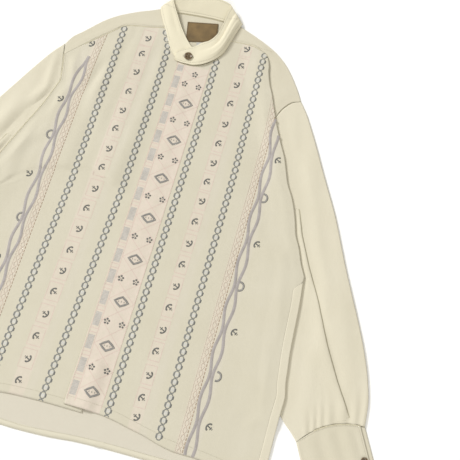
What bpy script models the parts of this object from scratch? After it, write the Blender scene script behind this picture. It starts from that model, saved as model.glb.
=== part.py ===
"""Long-sleeved shirt with a band collar, laid flat with its front up.

Lengths are millimetres until a mesh is made, in metres. In the tables x runs to the wearer's left and y
up to the collar, from the centre of the collar button. Heights are those of the middle of the cloth.
Each panel is a grid that a function lays out, with a Solidify for its wall. A sleeve is a flattened tube.
"""
import math

import bmesh
import bpy
import numpy as np

MM = 0.001
BUTTON_TO_CENTRE_X = -3.0   # from the collar button to the middle of the laid shirt
BUTTON_TO_CENTRE_Y = -273.2

WALL = 1.1                  # cloth, with its seam allowances spread through it
SEAM_GAP = 0.3
LAYER = WALL + SEAM_GAP     # from one laid layer to the next
ON_FLOOR = WALL / 2         # back panel and the under side of the sleeves
ON_BACK = ON_FLOOR + LAYER  # a front that lies on the back
BODY_LIFT = 2 * LAYER + 0.2 # of the body where it lies on a sleeve
OVER_SLEEVE = ON_FLOOR + BODY_LIFT
BAND_WALL = 1.6             # collar band, several layers with interlining
LABEL_WALL = 0.8

EDGE_RADIUS = 1.3           # soft fold down each side of the body
SEAM_INSET = 14.0           # side seam lies this far in from the folded edge
FLY_EDGE = -14.0            # free edge of the wearer's left front, which lies on top
UNDER_EDGE = 15.0           # edge of the wearer's right front, underneath
BACK_SEAM_Y = -56.0         # straight seam between yoke and back
UNDERARM_Y = -330.0
# How a panel climbs on to a sleeve: up this far before the sleeve's edge, over this length, from this y down.
BACK_RAMP = (6.0, 24.0, -285.0)
FRONT_RAMP = (16.0, 60.0, -274.0)

BUTTON_WIDTH = 14.0
CUFF_BUTTON_WIDTH = 11.0
CUFF_LENGTH = 66.0
CUFF_UNDERLAP = 22.0

# Free outline of the body on the wearer's left: the fold that lies over the sleeve, then the side edge.
LEFT_EDGE = (  # y, x
    (41.5, 126), (28, 133), (-6, 143), (-28, 153), (-50, 162), (-72, 171), (-94, 181), (-116, 192),
    (-137, 203), (-158, 211), (-179, 219), (-200, 231), (-220, 240), (-240, 247), (-260, 253),
    (-282, 264), (-305, 273), (-324, 283), (-339, 284), (-367, 287), (-405, 289), (-442, 291),
    (-469, 294), (-496, 297), (-516, 301), (-549, 300), (-660, 300))
# On the wearer's right the front ends at the armhole seam, then at the side edge.
RIGHT_EDGE = (  # y, distance from the centre
    (-50, 206), (-80, 199), (-98, 196), (-124, 203), (-145, 209), (-190, 226), (-236, 243), (-280, 259),
    (-310, 266.2), (-328, 285), (-350, 288), (-396, 290), (-440, 293), (-492, 299), (-516, 303),
    (-549, 302), (-660, 302))
# Armhole seams, from the shoulder point to the underarm, a row for each column of the sleeve.
LEFT_ARMHOLE = (  # x, y
    (204, -30), (192, -35), (176, -56), (169, -80), (170, -104), (191, -144), (218, -206), (240, -265),
    (254, -305), (261, -330))
RIGHT_ARMHOLE = (  # distance from the centre, y
    (210, -30), (206, -50), (204.6, -56), (199, -80), (196, -98), (209, -145), (226, -190), (243, -236),
    (259, -280), (271, -330))
# Back panel beside the armhole and down the side, with the straight runs of the two tables above.
LEFT_BACK_EDGE = (  # y, x
    (-56, 176), (-80, 169), (-104, 170), (-144, 191), (-206, 218), (-265, 240), (-305, 254), (-316, 268),
    (-322, 281.9)) + LEFT_EDGE[17:]
RIGHT_BACK_EDGE = (  # y, distance from the centre
    (-56, 204.6), (-80, 199), (-98, 196), (-145, 209), (-190, 226), (-236, 243), (-280, 259), (-305, 265),
    (-316, 273), (-322, 279), (-328, 285)) + RIGHT_EDGE[10:]
# Inner edge of each sleeve, under the body as far as the side edge and bare below it.
LEFT_SLEEVE_INNER = (  # y, x
    (-265, 240), (-330, 261), (-360, 262), (-400, 264), (-440, 268), (-480, 276), (-515, 287),
    (-540, 300), (-558, 320), (-572, 334), (-600, 420))
RIGHT_SLEEVE_INNER = (  # y, distance from the centre
    (-265, 253), (-330, 271), (-360, 274), (-400, 275), (-440, 277), (-480, 283), (-515, 293),
    (-540, 304), (-558, 324), (-572, 340), (-600, 420))
SLEEVE_OUTER = (  # x, y
    (204, -30), (220, -56), (239, -89), (257, -123), (276, -159), (303, -208), (325, -256), (347, -304),
    (380, -371), (396, -406), (412, -448), (420, -473), (424, -498), (426, -524))
CUFF_OUTER_END = (426.0, -524.0)
CUFF_INNER_END = (334.0, -572.0)
CUFF_SEAM_ARCH = 13.0       # the cuff seam bows towards the sleeve
RIGHT_SLEEVE_SHIFT = 6.0    # the wearer's right sleeve starts and lies this much further out

# Neck and yoke seams along the top of each front, a row for each column.
LEFT_FRONT_TOP = (  # x, y
    (-14, -12.3), (5, -12.5), (21, -8.5), (36, 1), (47.5, 13), (55.5, 29), (60.5, 50), (71, 51), (83, 51.4),
    (94, 51), (105, 49.3), (114.5, 46))
RIGHT_FRONT_TOP = (  # x, y
    (15, -12.3), (-2, -12.5), (-17, -8), (-30, 4), (-41, 22), (-49, 38), (-54.5, 45.5), (-80, 39.5),
    (-105, 35.5), (-124, 30), (-150, 5), (-178, -22))
LEFT_FRONT_HEM = (  # x, y
    (-16, -610), (48, -612), (63, -614), (93, -620), (128, -627), (145, -632), (202, -635), (271, -643))
RIGHT_FRONT_HEM = (  # x, y
    (15, -616), (-59, -616), (-104, -618), (-150, -624), (-200, -632), (-272, -643))
BACK_HEM = (  # x, y
    (-290, -652), (-200, -660), (-92, -665), (-65, -666), (-30, -663), (23, -659), (76, -657), (111, -657),
    (200, -656), (290, -652))

# Rows down the sides, as heights y of the side edge. Every corner of an armhole table is in them.
LOWER_ROWS = (-305, -316, -322, -325, -328, -331, -334, -339, -350, -372, -396, -420, -445, -470, -493, -516, -533, -549, -574, -600,
              -624, -644)
LEFT_FRONT_ROWS = (41.5, 28, 12, -6, -28, -50, -72, -94, -116, -137, -158, -179, -200, -220, -240, -260,
                   -282) + LOWER_ROWS
RIGHT_FRONT_ROWS = (-50, -56, -80, -98, -124, -145, -167, -190, -213, -236, -258, -280) + LOWER_ROWS
LEFT_BACK_ROWS = (-56, -80, -104, -144, -175, -206, -236, -265, -285) + LOWER_ROWS[:-1] + (-652,)
RIGHT_BACK_ROWS = (-56, -80, -98, -145, -168, -190, -236, -258, -280) + LOWER_ROWS[:-1] + (-652,)
BACK_COLUMNS = 9            # across the flat part of the back
PASSING_GAP = 1.2           # added where the side seam comes round the fold at the underarm

# Folds of the laid cloth: from x, y to x, y, half width, height of the ridge (below 0 for a trough).
FRONT_FOLDS = (
    (62, -70, 70, -300, 22, 1.5), (152, -120, 150, -420, 20, 1.4), (110, -430, 100, -600, 20, 1.3),
    (215, -330, 262, -500, 24, 1.3), (140, -230, 196, -345, 14, -1.4), (240, -430, 236, -600, 22, 1.2),
    (62, -585, 52, -612, 9, 1.6), (36, -150, 20, -420, 20, 0.9), (-58, -90, -60, -520, 16, 1.4),
    (-140, -60, -102, -190, 20, 1.6), (-102, 15, -106, -60, 13, -1.2), (-150, -110, -152, -420, 20, 1.4),
    (-187, -182, -250, -262, 12, 1.6), (-200, -70, -206, -140, 12, -1.4), (-104, -420, -112, -590, 18, 1.3),
    (-215, -300, -235, -520, 24, 1.4), (-182, -60, -196, -90, 12, 1.5))
SLEEVE_FOLDS = (
    (262, -262, 402, -518, 7, -1.4), (284, -240, 340, -380, 20, 1.2), (330, -330, 396, -455, 18, 1.4),
    (310, -420, 352, -520, 20, 1.3), (230, -110, 268, -200, 16, 1.1), (214, -62, 236, -130, 14, -0.9))
SLEEVE_ROWS = (0.0, 0.04, 0.09, 0.15, 0.23, 0.31, 0.39, 0.47, 0.55, 0.63, 0.71, 0.79, 0.87, 0.94, 1.0)
RIM_RISE = 0.25             # under sheet of a sleeve or yoke rises this much into its edge fold
BESIDE_BODY = 14.0          # a sleeve stays flat this far out from the body's edge
PUFF = 1.5                  # how far laid cloth stands off what is under it, away from its seams

# Shoulder yoke, in lines from the neck outwards, one along each of its creases and seams.
YOKE_LINES_LEFT = (  # name, height, points x, y
    ("front seam", ON_BACK, ((60.8, 50.5), (71, 51.5), (83, 51.9), (94, 51.5), (105, 49.8), (114.5, 46.5),
                             (127, 41.5), (131, 12), (140, -20), (152, -50), (168.6, -79.5))),
    ("front middle", ON_BACK, ((65.5, 67), (88, 62), (112, 53.5), (134, 40), (150, 18), (163, -9),
                               (175.2, -55.2))),
    ("front outer", ON_BACK, ((68, 76), (94, 66.5), (122, 54), (148, 35), (168, 10), (182, -14),
                              (191.2, -34.6))))
SHOULDER_LEFT = ((70, 81), (100, 69), (120, 60), (140, 49), (160, 33), (180, 9), (190, -6), (200, -22),
                 (203.7, -29.6))
SHOULDER_RIGHT = ((-71, 79), (-88, 71), (-105, 64), (-125, 54), (-145, 42), (-165, 25), (-184, 4),
                  (-203, -16), (-209.7, -29.6))
YOKE_LINES_RIGHT = (
    ("front outer", ON_BACK, ((-66, 67), (-104, 51), (-136, 34), (-164, 8), (-190, -14), (-207.3, -41.6))),
    ("front seam", ON_BACK, ((-54.7, 46.2), (-67, 43.2), (-80, 40.2), (-92, 38.2), (-105, 36.2), (-124, 30.7),
                             (-137, 18.2), (-150, 5.7), (-164, -7.8), (-178, -21.3), (-205.7, -49.6))))
YOKE_LINES_BACK = (
    ("back outer", ON_FLOOR, ((68, 80), (100, 63), (140, 36), (170, -2), (191.7, -34.7))),
    ("back side", ON_FLOOR, ((62, 82), (100, 52), (138, 12), (175.7, -55.7))),
    ("back inner", ON_FLOOR, ((48, 84), (70, 45), (95, 0), (118, -55.7))),
    ("back centre left", ON_FLOOR, ((24, 85), (35, 40), (46, -5), (56, -55.7))),
    ("back centre", ON_FLOOR, ((0, 84), (0, 40), (0, -8), (0, -55.7))),
    ("back centre right", ON_FLOOR, ((-26, 82), (-38, 38), (-50, -6), (-62, -55.7))),
    ("back inner right", ON_FLOOR, ((-50, 80), (-75, 42), (-100, -2), (-128, -55.7))),
    ("back side right", ON_FLOOR, ((-64, 79), (-108, 48), (-152, 6), (-204.2, -55.7))))
YOKE_COLUMNS = 10

# Collar band from the end that buttons over, round the back, to the end underneath.
# Neck edge x, y, z, free edge x, y, z, height of the roll between them.
BAND_SECTIONS = (
    (-22.0, -9.5, 5.6, -22.0, 3.0, 5.6, 0.0), (-16.0, -12.6, 5.6, -16.0, 9.5, 5.7, 0.0),
    (-6.0, -13.6, 5.6, -6.0, 15.0, 5.7, 0.0), (7.0, -13.6, 5.6, 6.0, 22.0, 5.8, 0.0),
    (22.0, -9.5, 5.6, 16.0, 31.0, 7.6, 1.2), (36.5, 0.0, 4.8, 26.0, 37.0, 8.6, 3.0),
    (48.5, 12.5, 4.3, 33.0, 46.0, 9.4, 4.6), (56.5, 28.0, 4.0, 37.5, 57.0, 9.8, 5.6),
    (61.5, 48.0, 3.9, 40.0, 70.0, 10.2, 6.0), (65.5, 65.0, 3.9, 41.5, 84.0, 11.0, 5.6),
    (69.0, 78.0, 3.9, 43.0, 98.0, 12.6, 4.0), (71.5, 85.0, 3.9, 45.5, 107.0, 14.5, 1.5),
    (65.5, 87.5, 3.0, 41.0, 112.5, 15.2, 0.0), (48.0, 83.4, 2.2, 30.0, 115.5, 15.6, 0.0),
    (24.0, 84.4, 2.2, 14.0, 117.5, 16.0, 0.0), (0.0, 83.4, 2.2, -5.0, 118.0, 16.0, 0.0),
    (-26.0, 81.4, 2.2, -26.0, 115.5, 15.6, 0.0), (-50.0, 79.4, 2.2, -43.0, 109.0, 15.0, 0.0),
    (-67.0, 84.0, 3.7, -52.0, 102.0, 14.0, 0.0), (-72.5, 80.0, 4.3, -53.5, 96.0, 12.5, 1.0),
    (-69.0, 70.0, 4.2, -48.0, 85.0, 10.5, 1.5), (-61.0, 55.0, 3.9, -40.0, 72.0, 8.5, 1.5),
    (-50.5, 37.5, 3.7, -30.0, 56.0, 6.8, 1.0), (-41.5, 20.5, 3.7, -20.0, 42.0, 5.6, 0.6),
    (-31.0, 4.0, 3.7, -8.0, 28.0, 4.3, 0.0), (-17.0, -8.0, 3.7, 4.0, 17.0, 3.9, 0.0),
    (0.0, -11.0, 3.7, 14.0, 9.0, 3.7, 0.0), (12.0, -9.4, 3.7, 18.0, 2.0, 3.7, 0.0))
BAND_STEPS = 6
BAND_CREASE = 0.68          # crease along the band, as a share of its width from the neck

LABEL_SIZE = (53.0, 38.0)
LABEL_CENTRE = (9.0, 53.0)
LABEL_TURN = math.radians(11.0)
TAB_SIZE = (12.0, 9.0)
TAB_ASIDE = -2.0            # centre of the size tab beside the centre of the label

CREAM = (0.80, 0.755, 0.62)
LABEL_BROWN = (0.12, 0.075, 0.035)
TAB_WHITE = (0.80, 0.79, 0.76)
BUTTON_BROWN = (0.055, 0.038, 0.020)


def smooth(value):
    """0 to 1 without corners"""
    value = min(max(value, 0.0), 1.0)
    return value * value * (3.0 - 2.0 * value)


def along(table, share, sizes=2):
    """point at a share of the length of a table of points, on a smooth curve through them"""
    points = np.array([row[:sizes] for row in table], dtype=float)
    steps = np.linalg.norm(np.diff(points, axis=0), axis=1)
    reach = np.concatenate(([0.0], np.cumsum(steps)))
    place = min(max(share, 0.0), 1.0) * reach[-1]
    start = min(max(int(np.searchsorted(reach, place, side="right")) - 1, 0), len(steps) - 1)
    local = (place - reach[start]) / steps[start]
    tangents = np.gradient(points, reach, axis=0)
    span = steps[start]
    a, b = local * local * (3 - 2 * local), local * (1 - local) * (1 - local) * span
    c = local * local * (local - 1) * span
    return points[start] * (1 - a) + points[start + 1] * a + tangents[start] * b + tangents[start + 1] * c


def edge_at(table, y):
    """distance from the centre in a table of y and distance, at height y"""
    heights = [-row[0] for row in table]
    return float(np.interp(-y, heights, [row[1] for row in table]))


def coons(top, bottom, inner, outer, across, down):
    """point of the flat patch between four edges that meet at its corners"""
    sides = inner(down) * (1 - across) + outer(down) * across
    ends = top(across) * (1 - down) + bottom(across) * down
    corners = ((inner(0) * (1 - across) + outer(0) * across) * (1 - down)
               + (inner(1) * (1 - across) + outer(1) * across) * down)
    return sides + ends - corners


def fold_offset(reach, radius):
    """inward distance and height of cloth folded on a radius; reach is negative on top, from the crest"""
    quarter = math.pi * radius / 2
    if abs(reach) <= quarter and radius > 0:
        return -radius + radius * math.cos(reach / radius), -radius * math.sin(reach / radius)
    beyond = abs(reach) - quarter
    return -radius - beyond, -math.copysign(radius, reach)


def relief(folds, x, y):
    """height that a table of folds adds at a point"""
    height = 0.0
    for x0, y0, x1, y1, width, size in folds:
        run = (x1 - x0) ** 2 + (y1 - y0) ** 2
        share = ((x - x0) * (x1 - x0) + (y - y0) * (y1 - y0)) / run
        near = min(max(share, 0.0), 1.0)
        away = math.hypot(x - x0 - near * (x1 - x0), y - y0 - near * (y1 - y0))
        height += size * math.exp(-(away / width) ** 2) * (0.35 + 0.65 * math.sin(math.pi * near))
    return height


def edges(side):
    """tables of the wearer's left, 1, or right, -1: front edge, back edge, sleeve's inner edge"""
    if side > 0:
        return LEFT_EDGE, LEFT_BACK_EDGE, LEFT_SLEEVE_INNER
    return RIGHT_EDGE, RIGHT_BACK_EDGE, RIGHT_SLEEVE_INNER


def lift(side, x, y, ramp=BACK_RAMP):
    """1 where the body lies on a sleeve, 0 clear of it"""
    margin, length, start = ramp
    inner = edge_at(edges(side)[2], y) - margin
    beside = smooth(1.0 - (inner - side * x) / length)
    below = smooth((start - y) / 26.0)
    return beside * below


def under_height(side, y):
    """height of the under sheet at the body's folded edge"""
    if side > 0 and y > UNDERARM_Y:
        return OVER_SLEEVE
    return ON_FLOOR + BODY_LIFT * lift(side, side * edge_at(edges(side)[1], y), y)


def front_radius(side, y):
    """radius of the fold at a front's outer edge, 0 where it ends flat at the armhole"""
    return EDGE_RADIUS * (smooth((41.5 - y) / 20.0) if side > 0 else smooth((-300.0 - y) / 40.0))


def crest_height(side, y):
    """height of the upper sheet at the body's folded edge"""
    if side < 0:
        return ON_BACK + (under_height(side, y) + 2 * EDGE_RADIUS - ON_BACK) * smooth((-290.0 - y) / 40.0)
    return under_height(side, y) + 2 * front_radius(side, y)


def top_seam(side, x):
    """height y of the neck or yoke seam above a point of a front"""
    table = LEFT_FRONT_TOP if side > 0 else RIGHT_FRONT_TOP[::-1]
    return float(np.interp(x, [row[0] for row in table], [row[1] for row in table]))


def front_height(side, x, y):
    """height of a front at a point of its flat part"""
    inside = edge_at(edges(side)[0], y) - side * x
    base = ON_BACK + BODY_LIFT * lift(side, x, y, FRONT_RAMP)
    raised = max(crest_height(side, y) - base, 0.0) * (1 - smooth((inside - 12.0) / 36.0))
    overlap = LAYER * smooth((UNDER_EDGE + 14.0 - x) / 12.0) if side > 0 else 0.0
    free = smooth((inside - 6.0) / 60.0) * smooth((y + 640.0) / 45.0) * smooth((top_seam(side, x) - y - 6) / 45)
    free *= smooth((side * x - 16.0) / 30.0) if side < 0 else smooth((x + 20.0) / 40.0)
    puff = max(PUFF + relief(FRONT_FOLDS, x, y), 0.0) * free
    return base + raised + overlap + puff


def back_height(x, y):
    """height of the back panel"""
    side = 1 if x > 0 else -1
    return ON_FLOOR + BODY_LIFT * lift(side, x, y)


def finish_mesh(name, mesh, colour, roughness=0.85):
    """object with its own material, in the shirt's collection"""
    material = bpy.data.materials.new(name + "_finish")
    material.use_nodes = True
    shader = material.node_tree.nodes["Principled BSDF"]
    shader.inputs["Base Color"].default_value = (*colour, 1.0)
    shader.inputs["Roughness"].default_value = roughness
    shader.inputs["Metallic"].default_value = 0.0
    mesh.materials.append(material)
    item = bpy.data.objects.new(name, mesh)
    shirt.objects.link(item)
    return item


def place(point):
    """metres in the shirt's own frame, from a point in the tables' frame"""
    return ((point[0] - BUTTON_TO_CENTRE_X) * MM, (point[1] - BUTTON_TO_CENTRE_Y) * MM, point[2] * MM)


def sheet(name, point, columns, rows, colour, wall=WALL, closed=False):
    """cloth wall: a grid of columns and rows laid out by point(column, row), with thickness"""
    shape = bmesh.new()
    bmesh.ops.create_grid(shape, x_segments=columns, y_segments=rows, size=1.0)
    for vertex in shape.verts:
        column = round((vertex.co.x + 1) / 2 * columns)
        row = round((1 - vertex.co.y) / 2 * rows)
        vertex.co = place(point(column, row))
    if closed:
        bmesh.ops.remove_doubles(shape, verts=shape.verts, dist=0.00001)
    mesh = bpy.data.meshes.new(name)
    shape.to_mesh(mesh)
    shape.free()
    mesh.shade_smooth()
    item = finish_mesh(name, mesh, colour)
    thicken = item.modifiers.new("wall", "SOLIDIFY")
    thicken.thickness = wall * MM
    thicken.offset = 0.0
    thicken.use_even_offset = not closed
    return item


# How far each outer column of a panel lies from the crest of the body's edge, below 0 on the upper sheet.
PLEAT_COLUMNS = (-12.0, -4.0, -2.0, -0.7, 0.7, 2.0, 14.0)       # front that turns under over the sleeve
SHORT_COLUMNS = (-12.0, -10.0, -8.0, -6.0, -4.0, -2.0, -0.5)    # the same at the yoke, before it turns
ARMHOLE_COLUMNS = (-28.0, -23.0, -18.0, -13.5, -9.0, -4.5, -0.2)
SIDE_COLUMNS = (-32.0, -29.0, -26.0, -23.0, -20.0, -17.0, -SEAM_INSET - 0.15)
# How the left front's last column comes round the fold from under it to the side seam.
SEAM_PATH = (  # y, reach
    (-300, 14.0), (-316, 6.0), (-322, 2.3), (-328, 0.0), (-334, -2.3), (-339, -6.0), (-350, -SEAM_INSET - 0.15))
BACK_FLAT_COLUMNS = (60.0, 42.0, 28.0, 16.0, 12.0, 9.0, 6.0, 4.0, 2.0, 0.3)
BACK_WRAP_COLUMNS = (60.0, 42.0, 28.0, 16.0, 4.0, 2.0, 0.7, -0.7, -2.0, -SEAM_INSET + 0.15)
LAST = len(SIDE_COLUMNS) - 1
BACK_LAST = len(BACK_WRAP_COLUMNS) - 1


def front_reach(side, column, y):
    """reach of a front's outer column at height y"""
    if side < 0:
        above = ARMHOLE_COLUMNS[column]
        return above + (SIDE_COLUMNS[column] - above) * smooth((-300.0 - y) / 50.0)
    pleat = SHORT_COLUMNS[column] + (PLEAT_COLUMNS[column] - SHORT_COLUMNS[column]) * smooth((16.0 - y) / 44.0)
    spacing = 0.6 + 2.4 * smooth((-334.0 - y) / 40.0)
    return min(pleat, edge_at(SEAM_PATH, y) - (LAST - column) * spacing)


def back_reach(side, column, y):
    """reach of the back's outer column, clear of the front's last one"""
    flat = BACK_FLAT_COLUMNS[column]
    if y > -320:
        return flat
    wrapped = flat + (BACK_WRAP_COLUMNS[column] - flat) * smooth((-316.0 - y) / 24.0)
    gap = SEAM_GAP + PASSING_GAP * (1 - smooth(abs(y + 328.0) / 14.0))
    return max(wrapped, front_reach(side, LAST, y) + gap + (BACK_LAST - column) * 0.5)


def make_front(name, side):
    """one front, from the centre out to the armhole or pleat, and to the side seam below"""
    rows = LEFT_FRONT_ROWS if side > 0 else RIGHT_FRONT_ROWS
    top_table = LEFT_FRONT_TOP if side > 0 else RIGHT_FRONT_TOP
    hem_table = LEFT_FRONT_HEM if side > 0 else RIGHT_FRONT_HEM
    flat = len(top_table) - 1

    def outer_point(column, y):
        reach = front_reach(side, column, y)
        radius = front_radius(side, y)
        inward, up = fold_offset(reach, radius)
        x = side * (edge_at(edges(side)[0], y) + inward)
        tilt = 0.36 * smooth((y - 5.0) / 36.0) if side > 0 else smooth((y + 75.0) / 25.0)
        if reach > -math.pi * radius / 2:
            height = crest_height(side, y) - radius + up
        else:
            height = front_height(side, x, y)
        return np.array((x, y - inward * tilt, height))

    def outer(down):
        return outer_point(0, rows[0] + (rows[-1] - rows[0]) * down)[:2]

    def inner(down):
        return np.array(top_table[0]) * (1 - down) + np.array(hem_table[0]) * down

    def top(across):
        return np.array(top_table[round(across * flat)], dtype=float) if across < 1 else outer(0)

    def bottom(across):
        return along(hem_table, across) if across < 1 else outer(1)

    def point(column, row):
        y = rows[row]
        if column > flat:
            return outer_point(column - flat, y)
        down = (y - rows[0]) / (rows[-1] - rows[0])
        x, y = coons(top, bottom, inner, outer, column / flat, down)
        return x, y, front_height(side, x, y)

    return sheet(name, point, flat + LAST, len(rows) - 1, CREAM)


def make_back(name):
    """back panel from the yoke seam to the hem; its sides fold up on to the front as far as the side seams"""
    rows = {1: LEFT_BACK_ROWS, -1: RIGHT_BACK_ROWS}
    last_row = len(LEFT_BACK_ROWS) - 1

    def side_point(side, column, row):
        y = rows[side][row]
        radius = EDGE_RADIUS if y < -320 else 0.0
        inward, up = fold_offset(back_reach(side, column, y), radius)
        x = side * (edge_at(edges(side)[1], y) + inward)
        low = under_height(side, y) if y < -320 else back_height(x, y)
        if inward < -11.0 and up <= 0:
            low = back_height(x, y) - radius - up
        return np.array((x, y, low + radius + up))

    def top(across):
        left, right = side_point(-1, 0, 0), side_point(1, 0, 0)
        return (left * (1 - across) + right * across)[:2]

    def bottom(across):
        left, right = side_point(-1, 0, last_row), side_point(1, 0, last_row)
        hem = along(BACK_HEM, across)
        ends = along(BACK_HEM, 0) * (1 - across) + along(BACK_HEM, 1) * across
        return hem + (left * (1 - across) + right * across)[:2] - ends

    def point(column, row):
        if column <= BACK_LAST:
            return side_point(-1, BACK_LAST - column, row)
        if column >= BACK_LAST + BACK_COLUMNS:
            return side_point(1, column - BACK_LAST - BACK_COLUMNS, row)
        across = (column - BACK_LAST) / BACK_COLUMNS
        down = row / last_row
        left, right = side_point(-1, 0, row), side_point(1, 0, row)
        ends = top(across) * (1 - down) + bottom(across) * down
        corners = ((side_point(-1, 0, 0) * (1 - across) + side_point(1, 0, 0) * across) * (1 - down)
                   + (side_point(-1, 0, last_row) * (1 - across)
                      + side_point(1, 0, last_row) * across) * down)[:2]
        x, y = (left * (1 - across) + right * across)[:2] + ends - corners
        return x, y, back_height(x, y)

    return sheet(name, point, 2 * BACK_LAST + BACK_COLUMNS, last_row, CREAM)


def shoulder_line(table, side, inset, height):
    """one line of the yoke along the fold over a shoulder"""
    points = [(x - side * 0.64 * inset, y - 0.77 * inset) for x, y in table]
    return height, points


def make_yoke(name):
    """yoke from the left front seam, over that shoulder, across the back and over the other shoulder"""
    radius = LAYER / 2
    lines = [(height, points) for _, height, points in YOKE_LINES_LEFT]
    fold = ((radius, ON_BACK), (0.0, ON_FLOOR + radius), (radius, ON_FLOOR + RIM_RISE))
    lines += [shoulder_line(SHOULDER_LEFT, 1, inset, height) for inset, height in fold]
    lines += [(height, points) for _, height, points in YOKE_LINES_BACK]
    lines += [shoulder_line(SHOULDER_RIGHT, -1, inset, height) for inset, height in reversed(fold)]
    lines += [(height, points) for _, height, points in YOKE_LINES_RIGHT]

    def point(column, row):
        height, points = lines[row]
        if len(points) == YOKE_COLUMNS + 1:
            x, y = points[column]
        else:
            x, y = along(points, column / YOKE_COLUMNS)
        return x, y, height

    return sheet(name, point, YOKE_COLUMNS, len(lines) - 1, CREAM)


def cuff_frame(side):
    """outer and inner end of the cuff seam, and the way the cuff runs"""
    shift = np.array((RIGHT_SLEEVE_SHIFT if side < 0 else 0.0, 0.0))
    outer = np.array(CUFF_OUTER_END) + shift
    inner = np.array(CUFF_INNER_END) + shift
    across = (inner - outer) / np.linalg.norm(inner - outer)
    return outer, inner, np.array((-across[1], across[0]))


def cuff_point(side, away, share):
    """plan of the cuff, away from its seam and at a share of its width from the outer edge"""
    outer, inner, run = cuff_frame(side)
    arch = CUFF_SEAM_ARCH * (1 - 0.3 * away / CUFF_LENGTH) * 4 * share * (1 - share)
    return outer * (1 - share) + inner * share + run * (away - arch)


def sleeve_height(side, x, y, down):
    """height of a sleeve's upper sheet: flat under the body, soft where it shows"""
    clear = smooth((x - edge_at(edges(side)[0], y) - BESIDE_BODY) / 28.0) * smooth(down / 0.07)
    return ON_BACK + clear * max(PUFF + relief(SLEEVE_FOLDS, x, y), 0.0)


def along_corners(table, place):
    """point of a table of corners at a place counted in corners, straight between them"""
    first = min(int(place), len(table) - 2)
    share = place - first
    return np.array(table[first], dtype=float) * (1 - share) + np.array(table[first + 1]) * share


def make_sleeve(name, side):
    """flattened tube from the armhole to the cuff seam"""
    armhole = LEFT_ARMHOLE if side > 0 else RIGHT_ARMHOLE
    shift = RIGHT_SLEEVE_SHIFT if side < 0 else 0.0
    outer_table = [(x + shift, y) for x, y in SLEEVE_OUTER]
    inner_table = [armhole[-1]] + [(x, y) for y, x in edges(side)[2] if armhole[-1][1] > y > -600]
    spans = len(armhole) - 1
    away = np.array((0.6, -0.1))        # armhole end stands this far off the body and the yoke
    swell = np.array((2.0, 0.0))        # and the sleeve swells by this just below it
    rim = 0.12                          # share of the first span that the rounded edge takes

    def plan(share, down):
        swollen = min(down / SLEEVE_ROWS[1], 1.0) * (1 - share ** 12)
        top = along_corners(armhole, share * spans) + away + swell * swollen
        ruled = top * (1 - down) + cuff_point(side, -0.2, share) * down
        outer_bow = (along(outer_table, down) - np.array(outer_table[0]) * (1 - down)
                     - np.array(outer_table[-1]) * down)
        inner_bow = (along(inner_table, down) - np.array(inner_table[0]) * (1 - down)
                     - np.array(inner_table[-1]) * down)
        return ruled + outer_bow * (1 - share) + inner_bow * share ** 12

    def beside_fold(step, down):
        if step < spans:
            return plan(max(step, rim) / spans, down)
        run = along(inner_table, down + 0.02) - along(inner_table, down - 0.02)
        inward = np.array((-run[1], run[0])) / np.linalg.norm(run)
        return plan(1.0, down) + inward * EDGE_RADIUS

    def point(column, row):
        down = SLEEVE_ROWS[row]
        around = column % (2 * spans + 4)
        if around <= spans:
            x, y = beside_fold(around, down)
            height = sleeve_height(side, x, y, down)
        elif spans + 1 < around <= 2 * spans + 2:
            step = 2 * spans + 2 - around
            x, y = beside_fold(step, down)
            height = ON_FLOOR + (RIM_RISE if step in (0, spans) else 0.0)
        else:
            x, y = plan(1.0 if around == spans + 1 else 0.0, down)
            height = (ON_FLOOR + sleeve_height(side, x, y, down)) / 2
        return side * x, y, height

    return sheet(name, point, 2 * spans + 4, len(SLEEVE_ROWS) - 1, CREAM, closed=True)


def make_cuff(name, side):
    """cuff wrapped round flat: free edge on top, inner fold, under side, outer fold and underlap"""
    outer, inner, _ = cuff_frame(side)
    width = float(np.linalg.norm(inner - outer))
    top, low, lap = OVER_SLEEVE, ON_FLOOR, ON_BACK
    section = (  # distance from the outer edge, height
        (6.0, top), (14.0, top + 0.1), (24.0, top), (0.38 * width, top - 0.1), (0.55 * width, top - 0.15),
        (0.75 * width, top - 0.2), (width - 2.6, top - 0.45), (width - 0.8, top - 0.9), (width, 1.72),
        (width - 0.8, 0.95), (width - 2.6, low), (0.75 * width, low), (0.5 * width, low), (0.25 * width, low),
        (1.6, low), (0.4, 0.85), (0.0, 1.25), (0.4, 1.65), (1.6, lap), (12.0, lap), (CUFF_UNDERLAP, lap))
    rows = (0.3, 12.0, 32.0, 52.0, CUFF_LENGTH)

    def point(column, row):
        distance, height = section[column]
        x, y = cuff_point(side, rows[row], distance / width)
        return side * x, y, height

    return sheet(name, point, len(section) - 1, len(rows) - 1, CREAM)


def make_band(name):
    """collar band, an open strip from the buttoned end round the neck to the end underneath"""
    def point(column, row):
        neck_x, neck_y, neck_z, free_x, free_y, free_z, roll = BAND_SECTIONS[column]
        share = row / BAND_STEPS
        height = neck_z * (1 - share) + free_z * share + roll * math.sin(math.pi * min(share / BAND_CREASE, 1))
        return neck_x * (1 - share) + free_x * share, neck_y * (1 - share) + free_y * share, height

    return sheet(name, point, len(BAND_SECTIONS) - 1, BAND_STEPS, CREAM, wall=BAND_WALL)


def make_tag(name, size, centre, height, colour):
    """flat rectangle of woven tape at the back of the neck"""
    def point(column, row):
        across = (column - 0.5) * size[0]
        up = (0.5 - row) * size[1]
        return (centre[0] + across * math.cos(LABEL_TURN) - up * math.sin(LABEL_TURN),
                centre[1] + across * math.sin(LABEL_TURN) + up * math.cos(LABEL_TURN), height)

    return sheet(name, point, 1, 1, colour, wall=LABEL_WALL)


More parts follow.
